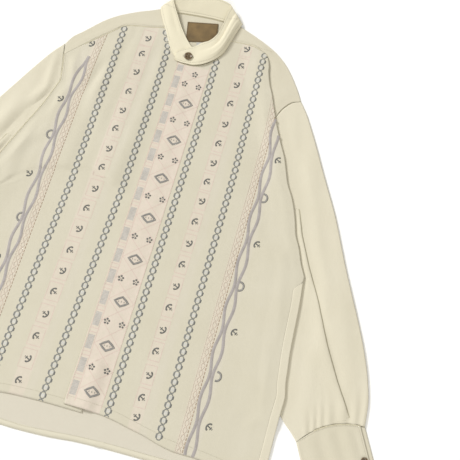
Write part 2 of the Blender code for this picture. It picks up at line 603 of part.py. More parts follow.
def make_button(name, width, centre, height):
    """turned four-hole button: rim, sunk face and slightly domed back"""
    radius = width / 2 * MM
    thick = 0.17 * width * MM
    profile = (  # share of the radius, share of the thickness
        (0.0, 0.0), (0.72, 0.0), (0.95, 0.28), (1.0, 0.55), (0.93, 0.9), (0.82, 1.0), (0.70, 0.9), (0.58, 0.66),
        (0.0, 0.62))
    shape = bmesh.new()
    points = [shape.verts.new((share * radius, 0.0, up * thick)) for share, up in profile]
    lines = [shape.edges.new(pair) for pair in zip(points, points[1:])]
    bmesh.ops.spin(shape, geom=points + lines, cent=(0, 0, 0), axis=(0, 0, 1), angle=2 * math.pi, steps=20,
                   use_merge=True)
    bmesh.ops.remove_doubles(shape, verts=shape.verts, dist=0.00001)
    bmesh.ops.recalc_face_normals(shape, faces=shape.faces)
    mesh = bpy.data.meshes.new(name)
    shape.to_mesh(mesh)
    shape.free()
    mesh.shade_smooth()
    item = finish_mesh(name, mesh, BUTTON_BROWN, roughness=0.35)
    x, y, z = place((*centre, height))
    item.location = (x, y, z)
    for turn in range(4):
        angle = math.pi / 4 + turn * math.pi / 2
        bpy.ops.mesh.primitive_cylinder_add(
            vertices=8, radius=0.085 * width * MM, depth=4 * thick,
            location=(x + 0.2 * width * MM * math.cos(angle), y + 0.2 * width * MM * math.sin(angle), z))
        drill = bpy.context.object
        drill.name = f"drill_{name}_{turn}"
        drill.hide_render = True
        drill.display_type = "WIRE"
        for collection in drill.users_collection:
            collection.objects.unlink(drill)
        cutters.objects.link(drill)
        cut = item.modifiers.new(f"hole_{turn}", "BOOLEAN")
        cut.object = drill
        cut.operation = "DIFFERENCE"
    return item


for leftover in list(bpy.data.objects):
    bpy.data.objects.remove(leftover, do_unlink=True)
shirt = bpy.data.collections.new("band_collar_shirt")
cutters = bpy.data.collections.new("cutters")
bpy.context.scene.collection.children.link(shirt)
bpy.context.scene.collection.children.link(cutters)

make_back("back")
make_yoke("yoke")
make_front("front_right", -1)
make_front("front_left", 1)
make_sleeve("sleeve_left", 1)
make_sleeve("sleeve_right", -1)
make_cuff("cuff_left", 1)
make_cuff("cuff_right", -1)
make_band("collar_band")
make_button("collar_button", BUTTON_WIDTH, (0.0, 0.0), 5.75 + BAND_WALL / 2 + SEAM_GAP)
for cuff_side, cuff_name in ((1, "left"), (-1, "right")):
    seat = cuff_point(cuff_side, 0.79 * CUFF_LENGTH, 0.13)
    make_button(f"cuff_button_{cuff_name}", CUFF_BUTTON_WIDTH, (cuff_side * seat[0], seat[1]),
                OVER_SLEEVE + 0.1 + WALL / 2 + SEAM_GAP)
label_height = ON_FLOOR + WALL / 2 + SEAM_GAP + LABEL_WALL / 2
make_tag("neck_label", LABEL_SIZE, LABEL_CENTRE, label_height, LABEL_BROWN)
drop = LABEL_SIZE[1] / 2 + SEAM_GAP + TAB_SIZE[1] / 2
tab_centre = (LABEL_CENTRE[0] + drop * math.sin(LABEL_TURN) + TAB_ASIDE * math.cos(LABEL_TURN),
              LABEL_CENTRE[1] - drop * math.cos(LABEL_TURN) + TAB_ASIDE * math.sin(LABEL_TURN))
make_tag("size_tab", TAB_SIZE, tab_centre, label_height, TAB_WHITE)
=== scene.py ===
"""Looks of the long-sleeved band-collar shirt, laid flat with its front up.

Lengths are millimetres until a mesh is made. In the tables x runs to the wearer's left and y up to the
collar, from the centre of the collar button, as in the solids. Each panel is the solid's own grid, laid
out finer, with its folds, hems and seams. The embroidery is thread that is dropped on to the cloth.
"""
import math

import bmesh
import bpy
import numpy as np
from mathutils import Matrix, Vector
from mathutils.bvhtree import BVHTree


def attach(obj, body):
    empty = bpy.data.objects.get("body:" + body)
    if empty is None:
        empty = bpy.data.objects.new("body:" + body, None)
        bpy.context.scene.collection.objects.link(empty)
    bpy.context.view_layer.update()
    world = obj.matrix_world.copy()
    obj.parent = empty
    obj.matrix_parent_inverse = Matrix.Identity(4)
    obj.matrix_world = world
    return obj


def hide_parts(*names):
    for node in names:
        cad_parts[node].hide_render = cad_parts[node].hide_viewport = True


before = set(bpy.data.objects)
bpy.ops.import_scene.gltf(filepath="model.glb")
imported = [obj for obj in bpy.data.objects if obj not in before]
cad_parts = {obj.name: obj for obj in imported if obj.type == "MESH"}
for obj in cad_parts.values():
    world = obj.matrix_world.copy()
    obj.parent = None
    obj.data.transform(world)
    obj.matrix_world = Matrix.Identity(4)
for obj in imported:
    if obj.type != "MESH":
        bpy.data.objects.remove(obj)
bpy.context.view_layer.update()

MM = 0.001
BUTTON_TO_CENTRE_X = -3.0   # from the collar button to the middle of the laid shirt
BUTTON_TO_CENTRE_Y = -273.2

WALL = 1.1                  # cloth, with its seam allowances spread through it
SEAM_GAP = 0.3
LAYER = WALL + SEAM_GAP     # from one laid layer to the next
ON_FLOOR = WALL / 2         # back panel and the under side of the sleeves
ON_BACK = ON_FLOOR + LAYER  # a front that lies on the back
BODY_LIFT = 2 * LAYER + 0.2  # rise of the body where it lies on a sleeve
OVER_SLEEVE = ON_FLOOR + BODY_LIFT
BAND_WALL = 1.6             # collar band, several layers with interlining
LABEL_WALL = 0.8

EDGE_RADIUS = 1.3           # soft fold down each side of the body
SEAM_INSET = 14.0           # side seam lies this far in from the folded edge
UNDER_EDGE = 15.0           # edge of the wearer's right front, underneath
UNDERARM_Y = -330.0
# How a panel climbs on to a sleeve: this far before the sleeve's edge, over this length, from this y down.
BACK_RAMP = (6.0, 24.0, -285.0)
FRONT_RAMP = (16.0, 60.0, -274.0)

BUTTON_WIDTH = 14.0
CUFF_BUTTON_WIDTH = 11.0
CUFF_LENGTH = 66.0
CUFF_UNDERLAP = 22.0
CUFF_BUTTON_AT = (0.79, 0.13)   # share of the cuff's length from its seam, and of its width

# Free outline of the body on the wearer's left: the fold that lies over the sleeve, then the side edge.
LEFT_EDGE = (  # y, x
    (41.5, 126), (28, 133), (-6, 143), (-28, 153), (-50, 162), (-72, 171), (-94, 181), (-116, 192),
    (-137, 203), (-158, 211), (-179, 219), (-200, 231), (-220, 240), (-240, 247), (-260, 253),
    (-282, 264), (-305, 273), (-324, 283), (-339, 284), (-367, 287), (-405, 289), (-442, 291),
    (-469, 294), (-496, 297), (-516, 301), (-549, 300), (-660, 300))
# On the wearer's right the front ends at the armhole seam, then at the side edge.
RIGHT_EDGE = (  # y, distance from the centre
    (-50, 206), (-80, 199), (-98, 196), (-124, 203), (-145, 209), (-190, 226), (-236, 243), (-280, 259),
    (-310, 266.2), (-328, 285), (-350, 288), (-396, 290), (-440, 293), (-492, 299), (-516, 303),
    (-549, 302), (-660, 302))
# Armhole seams, from the shoulder point to the underarm, a row for each column of the sleeve.
LEFT_ARMHOLE = (  # x, y
    (204, -30), (192, -35), (176, -56), (169, -80), (170, -104), (191, -144), (218, -206), (240, -265),
    (254, -305), (261, -330))
RIGHT_ARMHOLE = (  # distance from the centre, y
    (210, -30), (206, -50), (204.6, -56), (199, -80), (196, -98), (209, -145), (226, -190), (243, -236),
    (259, -280), (271, -330))
# Back panel beside the armhole and down the side, with the straight runs of the two tables above.
LEFT_BACK_EDGE = (  # y, x
    (-56, 176), (-80, 169), (-104, 170), (-144, 191), (-206, 218), (-265, 240), (-305, 254), (-316, 268),
    (-322, 281.9)) + LEFT_EDGE[17:]
RIGHT_BACK_EDGE = (  # y, distance from the centre
    (-56, 204.6), (-80, 199), (-98, 196), (-145, 209), (-190, 226), (-236, 243), (-280, 259), (-305, 265),
    (-316, 273), (-322, 279), (-328, 285)) + RIGHT_EDGE[10:]
# Inner edge of each sleeve, under the body as far as the side edge and bare below it.
LEFT_SLEEVE_INNER = (  # y, x
    (-265, 240), (-330, 261), (-360, 262), (-400, 264), (-440, 268), (-480, 276), (-515, 287),
    (-540, 300), (-558, 320), (-572, 334), (-600, 420))
RIGHT_SLEEVE_INNER = (  # y, distance from the centre
    (-265, 253), (-330, 271), (-360, 274), (-400, 275), (-440, 277), (-480, 283), (-515, 293),
    (-540, 304), (-558, 324), (-572, 340), (-600, 420))
SLEEVE_OUTER = (  # x, y
    (204, -30), (220, -56), (239, -89), (257, -123), (276, -159), (303, -208), (325, -256), (347, -304),
    (380, -371), (396, -406), (412, -448), (420, -473), (424, -498), (426, -524))
CUFF_OUTER_END = (426.0, -524.0)
CUFF_INNER_END = (334.0, -572.0)
CUFF_SEAM_ARCH = 13.0       # the cuff seam bows towards the sleeve
RIGHT_SLEEVE_SHIFT = 6.0    # the wearer's right sleeve starts and lies this much further out

# Neck and yoke seams along the top of each front, a row for each column.
LEFT_FRONT_TOP = (  # x, y
    (-14, -12.3), (5, -12.5), (21, -8.5), (36, 1), (47.5, 13), (55.5, 29), (60.5, 50), (71, 51), (83, 51.4),
    (94, 51), (105, 49.3), (114.5, 46))
RIGHT_FRONT_TOP = (  # x, y
    (15, -12.3), (-2, -12.5), (-17, -8), (-30, 4), (-41, 22), (-49, 38), (-54.5, 45.5), (-80, 39.5),
    (-105, 35.5), (-124, 30), (-150, 5), (-178, -22))
LEFT_FRONT_HEM = (  # x, y
    (-16, -610), (48, -612), (63, -614), (93, -620), (128, -627), (145, -632), (202, -635), (271, -643))
RIGHT_FRONT_HEM = (  # x, y
    (15, -616), (-59, -616), (-104, -618), (-150, -624), (-200, -632), (-272, -643))
BACK_HEM = (  # x, y
    (-290, -652), (-200, -660), (-92, -665), (-65, -666), (-30, -663), (23, -659), (76, -657), (111, -657),
    (200, -656), (290, -652))

# Rows down the sides, as heights y of the side edge. Every corner of an armhole table is in them.
LOWER_ROWS = (-305, -316, -322, -325, -328, -331, -334, -339, -350, -372, -396, -420, -445, -470, -493,
              -516, -533, -549, -574, -600, -624, -644)
LEFT_FRONT_ROWS = (41.5, 28, 12, -6, -28, -50, -72, -94, -116, -137, -158, -179, -200, -220, -240, -260,
                   -282) + LOWER_ROWS
RIGHT_FRONT_ROWS = (-50, -56, -80, -98, -124, -145, -167, -190, -213, -236, -258, -280) + LOWER_ROWS
LEFT_BACK_ROWS = (-56, -80, -104, -144, -175, -206, -236, -265, -285) + LOWER_ROWS[:-1] + (-652,)
RIGHT_BACK_ROWS = (-56, -80, -98, -145, -168, -190, -236, -258, -280) + LOWER_ROWS[:-1] + (-652,)
BACK_COLUMNS = 9            # across the flat part of the back
BACK_FOLDS_Y = -320         # the back folds up on to the front below this
PASSING_GAP = 1.2           # added where the side seam comes round the fold at the underarm

# Folds of the laid cloth: from x, y to x, y, half width, height of the ridge (below 0 for a trough).
FRONT_FOLDS = (
    (62, -70, 70, -300, 22, 1.5), (152, -120, 150, -420, 20, 1.4), (110, -430, 100, -600, 20, 1.3),
    (215, -330, 262, -500, 24, 1.3), (140, -230, 196, -345, 14, -1.4), (240, -430, 236, -600, 22, 1.2),
    (62, -585, 52, -612, 9, 1.6), (36, -150, 20, -420, 20, 0.9), (-58, -90, -60, -520, 16, 1.4),
    (-140, -60, -102, -190, 20, 1.6), (-102, 15, -106, -60, 13, -1.2), (-150, -110, -152, -420, 20, 1.4),
    (-187, -182, -250, -262, 12, 1.6), (-200, -70, -206, -140, 12, -1.4), (-104, -420, -112, -590, 18, 1.3),
    (-215, -300, -235, -520, 24, 1.4), (-182, -60, -196, -90, 12, 1.5), (-132, -42, -146, -106, 8, -1.5),
    (-104, 24, -109, -8, 7, -1.2))
SLEEVE_FOLDS = (
    (262, -262, 402, -518, 7, -1.4), (284, -240, 340, -380, 20, 1.2), (330, -330, 396, -455, 18, 1.4),
    (310, -420, 352, -520, 20, 1.3), (230, -110, 268, -200, 16, 1.1), (214, -62, 236, -130, 14, -0.9))
SLEEVE_ROWS = (0.0, 0.04, 0.09, 0.15, 0.23, 0.31, 0.39, 0.47, 0.55, 0.63, 0.71, 0.79, 0.87, 0.94, 1.0)
RIM_RISE = 0.25             # under sheet of a sleeve or yoke rises this much into its edge fold
BESIDE_BODY = 14.0          # a sleeve stays flat this far out from the body's edge
PUFF = 1.5                  # how far laid cloth stands off what is under it, away from its seams

# Shoulder yoke, in lines from the neck outwards, one along each of its creases and seams.
YOKE_LINES_LEFT = (  # name, height, points x, y
    ("front seam", ON_BACK, ((60.8, 50.5), (71, 51.5), (83, 51.9), (94, 51.5), (105, 49.8), (114.5, 46.5),
                             (127, 41.5), (131, 12), (140, -20), (152, -50), (168.6, -79.5))),
    ("front middle", ON_BACK, ((65.5, 67), (88, 62), (112, 53.5), (134, 40), (150, 18), (163, -9),
                               (175.2, -55.2))),
    ("front outer", ON_BACK, ((68, 76), (94, 66.5), (122, 54), (148, 35), (168, 10), (182, -14),
                              (191.2, -34.6))))
SHOULDER_LEFT = ((70, 81), (100, 69), (120, 60), (140, 49), (160, 33), (180, 9), (190, -6), (200, -22),
                 (203.7, -29.6))
SHOULDER_RIGHT = ((-71, 79), (-88, 71), (-105, 64), (-125, 54), (-145, 42), (-165, 25), (-184, 4),
                  (-203, -16), (-209.7, -29.6))
YOKE_LINES_RIGHT = (
    ("front outer", ON_BACK, ((-66, 67), (-104, 51), (-136, 34), (-164, 8), (-190, -14), (-207.3, -41.6))),
    ("front seam", ON_BACK, ((-54.7, 46.2), (-67, 43.2), (-80, 40.2), (-92, 38.2), (-105, 36.2),
                             (-124, 30.7), (-137, 18.2), (-150, 5.7), (-164, -7.8), (-178, -21.3),
                             (-205.7, -49.6))))
YOKE_LINES_BACK = (
    ("back outer", ON_FLOOR, ((68, 80), (100, 63), (140, 36), (170, -2), (191.7, -34.7))),
    ("back side", ON_FLOOR, ((62, 82), (100, 52), (138, 12), (175.7, -55.7))),
    ("back inner", ON_FLOOR, ((48, 84), (70, 45), (95, 0), (118, -55.7))),
    ("back centre left", ON_FLOOR, ((24, 85), (35, 40), (46, -5), (56, -55.7))),
    ("back centre", ON_FLOOR, ((0, 84), (0, 40), (0, -8), (0, -55.7))),
    ("back centre right", ON_FLOOR, ((-26, 82), (-38, 38), (-50, -6), (-62, -55.7))),
    ("back inner right", ON_FLOOR, ((-50, 80), (-75, 42), (-100, -2), (-128, -55.7))),
    ("back side right", ON_FLOOR, ((-64, 79), (-108, 48), (-152, 6), (-204.2, -55.7))))
YOKE_COLUMNS = 10

# Collar band from the end that buttons over, round the back, to the end underneath.
# Neck edge x, y, z, free edge x, y, z, height of the roll between them.
BAND_SECTIONS = (
    (-22.0, -9.5, 5.6, -22.0, 3.0, 5.6, 0.0), (-16.0, -12.6, 5.6, -16.0, 9.5, 5.7, 0.0),
    (-6.0, -13.6, 5.6, -6.0, 15.0, 5.7, 0.0), (7.0, -13.6, 5.6, 6.0, 22.0, 5.8, 0.0),
    (22.0, -9.5, 5.6, 16.0, 31.0, 7.6, 1.2), (36.5, 0.0, 4.8, 26.0, 37.0, 8.6, 3.0),
    (48.5, 12.5, 4.3, 33.0, 46.0, 9.4, 4.6), (56.5, 28.0, 4.0, 37.5, 57.0, 9.8, 5.6),
    (61.5, 48.0, 3.9, 40.0, 70.0, 10.2, 6.0), (65.5, 65.0, 3.9, 41.5, 84.0, 11.0, 5.6),
    (69.0, 78.0, 3.9, 43.0, 98.0, 12.6, 4.0), (71.5, 85.0, 3.9, 45.5, 107.0, 14.5, 1.5),
    (65.5, 87.5, 3.0, 41.0, 112.5, 15.2, 0.0), (48.0, 83.4, 2.2, 30.0, 115.5, 15.6, 0.0),
    (24.0, 84.4, 2.2, 14.0, 117.5, 16.0, 0.0), (0.0, 83.4, 2.2, -5.0, 118.0, 16.0, 0.0),
    (-26.0, 81.4, 2.2, -26.0, 115.5, 15.6, 0.0), (-50.0, 79.4, 2.2, -43.0, 109.0, 15.0, 0.0),
    (-67.0, 84.0, 3.7, -52.0, 102.0, 14.0, 0.0), (-72.5, 80.0, 4.3, -53.5, 96.0, 12.5, 1.0),
    (-69.0, 70.0, 4.2, -48.0, 85.0, 10.5, 1.5), (-61.0, 55.0, 3.9, -40.0, 72.0, 8.5, 1.5),
    (-50.5, 37.5, 3.7, -30.0, 56.0, 6.8, 1.0), (-41.5, 20.5, 3.7, -20.0, 42.0, 5.6, 0.6),
    (-31.0, 4.0, 3.7, -8.0, 28.0, 4.3, 0.0), (-17.0, -8.0, 3.7, 4.0, 17.0, 3.9, 0.0),
    (0.0, -11.0, 3.7, 14.0, 9.0, 3.7, 0.0), (12.0, -9.4, 3.7, 18.0, 2.0, 3.7, 0.0))
BAND_STEPS = 6
BAND_WIDTH = 33.0
BAND_CREASE = 0.68          # crease along the band, as a share of its width from the neck

LABEL_SIZE = (53.0, 38.0)
LABEL_CENTRE = (9.0, 53.0)
LABEL_TURN = math.radians(11.0)
TAB_SIZE = (12.0, 9.0)
TAB_ASIDE = -2.0            # centre of the size tab beside the centre of the label

# Finer creases of the two fronts, in the same terms.
FRONT_CREASES = (
    (-137, -50, -148, -112, 9.0, -1.2), (-125, -58, -134, -118, 8.0, 0.7), (-192, -54, -179, -76, 7.0, 1.1),
    (-179, -42, -169, -56, 3.5, -0.8), (-125, 50, -104, 38, 4.0, -0.6), (-104, 38, -100, 12, 4.0, -0.5),
    (-190, -110, -182, -150, 9.0, 1.0), (-205, -170, -236, -232, 9.0, 1.2),
    (-158, -120, -166, -260, 5.0, -0.6), (64, -60, 70, -180, 8.0, 0.7), (75, -90, 72, -210, 7.0, -0.6),
    (150, -60, 150, -200, 10.0, 0.7),
    (205, -300, 262, -470, 14.0, -0.8), (228, -300, 276, -440, 12.0, 0.8), (60, -598, 50, -614, 5.0, 1.0),
    (112, -330, 106, -470, 8.0, 0.6), (-64, -200, -66, -420, 9.0, 0.6), (-20, -380, -24, -560, 8.0, 0.5),
    (152, -330, 148, -560, 9.0, 0.6), (-108, -330, -116, -520, 9.0, -0.6))
HEM_FOLDS = ((50, -640, 54, -668, 5, 1.2), (150, -650, 210, -656, 10, 0.5))
SLEEVE_PLEAT = (  # a pressed fold down the outer half of each sleeve
    (246.5, -210.7), (262.7, -256.1), (287.3, -307.2), (313.0, -354.2), (342.4, -417.9), (370.6, -468.3),
    (403.1, -520.5))
ARMHOLE_CREASES = (
    (-217, -50, -214, -120, 7.0, 1.3), (-214, -120, -232, -146, 8.0, 1.2),
    (-206, -139, -229, -162, 7.0, -1.3), (-229, -162, -262, -240, 8.0, -1.5),
    (-248, -160, -276, -226, 12.0, 1.3))
FRONT_FOLDS_TALLER = 1.3    # these folds stand this much above what their tables say
ARMHOLE_CREASES_TALLER = 1.8
HEM_DEPTH = 14.0            # turned hem of the fronts
HEM_THICK = 0.25
FLY_STITCH = 40.0           # stitching line of the fly
FLY_GROOVE = 0.35

SLEEVE_ROUND = 430.0        # cloth round a sleeve at its armhole
SLEEVE_LENGTH = 560.0
SLEEVE_TAPER = 0.38         # share of it lost by the cuff
UV_PER_MM = 0.01            # scale of both UV maps
BUTTON_BROWN = (0.055, 0.038, 0.020)


def smooth(value):
    """0 to 1 without corners, for numbers and arrays"""
    value = np.clip(value, 0.0, 1.0)
    return value * value * (3.0 - 2.0 * value)


def along(table, share):
    """point at a share of the length of a table of points, on a smooth curve through them"""
    points = np.array(table, dtype=float)
    steps = np.linalg.norm(np.diff(points, axis=0), axis=1)
    reach = np.concatenate(([0.0], np.cumsum(steps)))
    place = min(max(share, 0.0), 1.0) * reach[-1]
    start = min(max(int(np.searchsorted(reach, place, side="right")) - 1, 0), len(steps) - 1)
    local = (place - reach[start]) / steps[start]
    tangents = np.gradient(points, reach, axis=0)
    span = steps[start]
    a, b = local * local * (3 - 2 * local), local * (1 - local) * (1 - local) * span
    c = local * local * (local - 1) * span
    return points[start] * (1 - a) + points[start + 1] * a + tangents[start] * b + tangents[start + 1] * c


def along_corners(table, place):
    """point of a table of corners at a place counted in corners, straight between them"""
    first = min(int(place), len(table) - 2)
    share = place - first
    return np.array(table[first], dtype=float) * (1 - share) + np.array(table[first + 1]) * share


def edge_at(table, y):
    """distance from the centre in a table of y and distance, at heights y"""
    heights = [-row[0] for row in table]
    return np.interp(-np.asarray(y, dtype=float), heights, [row[1] for row in table])


def coons(top, bottom, inner, outer, across, down):
    """point of the flat patch between four edges that meet at its corners"""
    sides = inner(down) * (1 - across) + outer(down) * across
    ends = top(across) * (1 - down) + bottom(across) * down
    corners = ((inner(0) * (1 - across) + outer(0) * across) * (1 - down)
               + (inner(1) * (1 - across) + outer(1) * across) * down)
    return sides + ends - corners


def fold_offset(reach, radius):
    """inward distance and height of cloth folded on a radius, for a reach below 0 on top of the crest"""
    quarter = math.pi * radius / 2
    if abs(reach) <= quarter and radius > 0:
        return -radius + radius * math.cos(reach / radius), -radius * math.sin(reach / radius)
    beyond = abs(reach) - quarter
    return -radius - beyond, -math.copysign(radius, reach)


def relief(folds, x, y):
    """height that a table of folds adds at points"""
    height = np.zeros_like(np.asarray(x, dtype=float))
    for x0, y0, x1, y1, width, size in folds:
        run = (x1 - x0) ** 2 + (y1 - y0) ** 2
        near = np.clip(((x - x0) * (x1 - x0) + (y - y0) * (y1 - y0)) / run, 0.0, 1.0)
        away = np.hypot(x - x0 - near * (x1 - x0), y - y0 - near * (y1 - y0))
        height = height + size * np.exp(-(away / width) ** 2) * (0.35 + 0.65 * np.sin(math.pi * near))
    return height


def beside(line, x, y):
    """signed distance of points from a line of corners, above 0 on its left, and the share along it"""
    best = np.full_like(np.asarray(x, dtype=float), 1e9)
    side, share = np.zeros_like(best), np.zeros_like(best)
    for index, ((x0, y0), (x1, y1)) in enumerate(zip(line, line[1:])):
        run = math.hypot(x1 - x0, y1 - y0)
        near = np.clip(((x - x0) * (x1 - x0) + (y - y0) * (y1 - y0)) / run ** 2, 0.0, 1.0)
        away = np.hypot(x - x0 - near * (x1 - x0), y - y0 - near * (y1 - y0))
        turned = (x1 - x0) * (y - y0) - (y1 - y0) * (x - x0)
        closer = away < best
        best = np.where(closer, away, best)
        side = np.where(closer, np.sign(turned), side)
        share = np.where(closer, (index + near) / (len(line) - 1), share)
    return best * side, share


def pressed(line, x, y, height, reach):
    """height of a pressed fold that stands up on the right of a line and drops sharply at it"""
    away, share = beside(line, x, y)
    standing = smooth((0.3 - away) / 1.0) * np.exp(-(np.minimum(away, 0.0) / reach) ** 2)
    return height * standing * smooth(share / 0.12) * smooth((1.0 - share) / 0.06)


def ripple(x, y, size, seed=0.0):
    """slow unevenness of laid cloth, up to about size"""
    waves = ((0.061, 0.013, 0.3), (0.028, 0.041, 1.7), (-0.019, 0.073, 2.9), (0.103, -0.036, 4.1),
             (0.017, 0.019, 5.2))
    total = sum(np.sin(a * x + b * y + c + seed) for a, b, c in waves)
    return size * total / len(waves)


def edges(side):
    """tables of the wearer's left, 1, or right, -1: front edge, back edge, sleeve's inner edge"""
    if side > 0:
        return LEFT_EDGE, LEFT_BACK_EDGE, LEFT_SLEEVE_INNER
    return RIGHT_EDGE, RIGHT_BACK_EDGE, RIGHT_SLEEVE_INNER


def lift(side, x, y, ramp=BACK_RAMP):
    """1 where the body lies on a sleeve, 0 clear of it"""
    margin, length, start = ramp
    inner = edge_at(edges(side)[2], y) - margin
    return smooth(1.0 - (inner - side * x) / length) * smooth((start - y) / 26.0)


def under_height(side, y):
    """height of the under sheet at the body's folded edge"""
    if side > 0 and y > UNDERARM_Y:
        return OVER_SLEEVE
    return ON_FLOOR + BODY_LIFT * lift(side, side * edge_at(edges(side)[1], y), y)


def front_radius(side, y):
    """radius of the fold at a front's outer edge, 0 where it ends flat at the armhole"""
    return EDGE_RADIUS * (smooth((41.5 - y) / 20.0) if side > 0 else smooth((-300.0 - y) / 40.0))


def crest_height(side, y):
    """height of the upper sheet at the body's folded edge"""
    if side < 0:
        return ON_BACK + (under_height(side, y) + 2 * EDGE_RADIUS - ON_BACK) * smooth((-290.0 - y) / 40.0)
    return under_height(side, y) + 2 * front_radius(side, y)


def top_seam(side, x):
    """height y of the neck or yoke seam above points of a front"""
    table = LEFT_FRONT_TOP if side > 0 else RIGHT_FRONT_TOP[::-1]
    return np.interp(x, [row[0] for row in table], [row[1] for row in table])


def front_base(side, x, y):
    """height of a front without its folds, at a point of its flat part"""
    inside = edge_at(edges(side)[0], y) - side * x
    base = ON_BACK + BODY_LIFT * lift(side, x, y, FRONT_RAMP)
    raised = max(crest_height(side, y) - base, 0.0) * (1 - smooth((inside - 12.0) / 36.0))
    overlap = LAYER * smooth((UNDER_EDGE + 14.0 - x) / 12.0) if side > 0 else 0.0
    return base + raised + overlap


def hem_line(side, x):
    """height y of the hem below points of a front"""
    table = LEFT_FRONT_HEM if side > 0 else RIGHT_FRONT_HEM[::-1]
    return np.interp(x, [row[0] for row in table], [row[1] for row in table])


def front_folds(side, x, y):
    """height that the laid folds, the turned hem and the sewn edges add to a front"""
    inside = edge_at(edges(side)[0], y) - side * x
    reach = np.where((side < 0) & (np.asarray(y) > -290.0), 16.0, 60.0)
    free = smooth((inside - 60.0 / reach - 3.0) / reach) * smooth((y + 640.0) / 45.0)
    free = free * smooth((top_seam(side, x) - y - 6) / 45)
    free = free * (smooth((side * x - 16.0) / 30.0) if side < 0 else smooth((x + 20.0) / 40.0))
    drape = ripple(x, y, 0.6) + ripple(x * 2.2, y * 0.32, 1.5, 7.0)
    puff = np.maximum(PUFF + FRONT_FOLDS_TALLER * relief(FRONT_FOLDS, x, y) + drape, 0.0) * free
    fine = relief(FRONT_CREASES, x, y) * smooth((inside - 1.0) / 14.0)
    hem = HEM_THICK * smooth((hem_line(side, x) + HEM_DEPTH - y) / 1.6)
    seam = 0.25 * smooth(1.0 - np.abs(inside - 10.0) / 9.0) * smooth((-250.0 - y) / 60.0)
    fly = 0.0
    if side > 0:
        fly = -FLY_GROOVE * np.exp(-((x - FLY_STITCH) / 1.1) ** 2) + 0.25 * smooth((FLY_STITCH - x) / 2.0)
    return puff + fine + hem + seam + fly * smooth((-10.0 - y) / 20.0)


def back_height(x, y):
    """height of the back panel"""
    side = 1 if x > 0 else -1
    return ON_FLOOR + BODY_LIFT * lift(side, x, y)


def place(points):
    """metres in the shirt's own frame, from points in the tables' frame"""
    points = np.asarray(points, dtype=float)
    return (points - np.array((BUTTON_TO_CENTRE_X, BUTTON_TO_CENTRE_Y, 0.0))) * MM


def between(values, places):
    """values at fractional places along their first axis, smooth and never past their neighbours"""
    values = np.asarray(values, dtype=float)
    steps = np.diff(values, axis=0)
    same = steps[1:] * steps[:-1] > 0
    total = np.where(same, steps[1:] + steps[:-1], 1.0)
    middle = np.where(same, 2 * steps[1:] * steps[:-1] / total, 0.0)
    slopes = np.concatenate((steps[:1], middle, steps[-1:]))
    first = np.clip(places.astype(int), 0, len(values) - 2)
    t = (places - first).reshape((-1,) + (1,) * (values.ndim - 1))
    start, end = values[first], values[first + 1]
    return (start * (1 + 2 * t) * (1 - t) ** 2 + end * t * t * (3 - 2 * t)
            + slopes[first] * t * (1 - t) ** 2 - slopes[first + 1] * t * t * (1 - t))


def cloth(name, point, columns, rows, finer, finish, folds, wall=WALL, closed=False, grain=0.0,
          twill=None, crease=None):
    """panel on the solid's own grid, laid out finer by a whole number across and down, with a wall

    folds(points, columns, rows) returns the height to add. grain turns the weave, in radians. twill is a
    function that gives the weave's own x and y. crease gives the distance of points from a pressed line, for
    painted shade.
    """
    rough = np.array([[point(c, r) for c in range(columns + 1)] for r in range(rows + 1)])
    if closed:
        rough = np.concatenate((rough[:, -4:-1], rough, rough[:, 1:4]), axis=1)
    across, down = finer
    row_places = np.linspace(0, rows, rows * down + 1)
    column_places = np.linspace(0, columns, columns * across + 1)
    points = between(rough, row_places)
    points = np.swapaxes(between(np.swapaxes(points, 0, 1), column_places + (3 if closed else 0)), 0, 1)
    points[..., 2] += folds(points, column_places, row_places)
    wide, tall = len(column_places) - 1, len(row_places) - 1
    shape = bmesh.new()
    bmesh.ops.create_grid(shape, x_segments=wide, y_segments=tall, size=1.0)
    weave = shape.loops.layers.uv.new("weave")
    border = shape.loops.layers.uv.new("border")
    column = [round((vertex.co.x + 1) / 2 * wide) for vertex in shape.verts]
    row = [round((1 - vertex.co.y) / 2 * tall) for vertex in shape.verts]
    laid = place(points)
    turn = np.array(((math.cos(grain), -math.sin(grain)), (math.sin(grain), math.cos(grain))))
    flat = points[..., :2] @ turn
    if twill:
        flat = twill(column_places, row_places)
    rises = np.linalg.norm(np.diff(points, axis=0), axis=2)
    from_crease = crease(points) if crease else np.ones(points.shape[:2])
    from_hem = np.concatenate((np.cumsum(rises[::-1], axis=0)[::-1], np.zeros((1, wide + 1))))
    for vertex in shape.verts:
        vertex.co = laid[row[vertex.index], column[vertex.index]]
    for face in shape.faces:
        for loop in face.loops:
            index = loop.vert.index
            loop[weave].uv = flat[row[index], column[index]] * UV_PER_MM
            loop[border].uv = (from_crease[row[index], column[index]],
                               from_hem[row[index], column[index]] * UV_PER_MM)
    if closed:
        bmesh.ops.remove_doubles(shape, verts=shape.verts, dist=0.00001)
    mesh = bpy.data.meshes.new(name)
    shape.to_mesh(mesh)
    shape.free()
    mesh.shade_smooth()
    item = finish_piece(name, mesh, finish)
    thicken = item.modifiers.new("wall", "SOLIDIFY")
    thicken.thickness = wall * MM
    thicken.offset = 0.0
    thicken.use_even_offset = False
    return item


def finish_piece(name, mesh, finish):
    """object of the shirt, on its one body"""
    mesh.materials.append(finish)
    item = bpy.data.objects.new(name, mesh)
    bpy.context.scene.collection.objects.link(item)
    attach(item, "root")
    return item


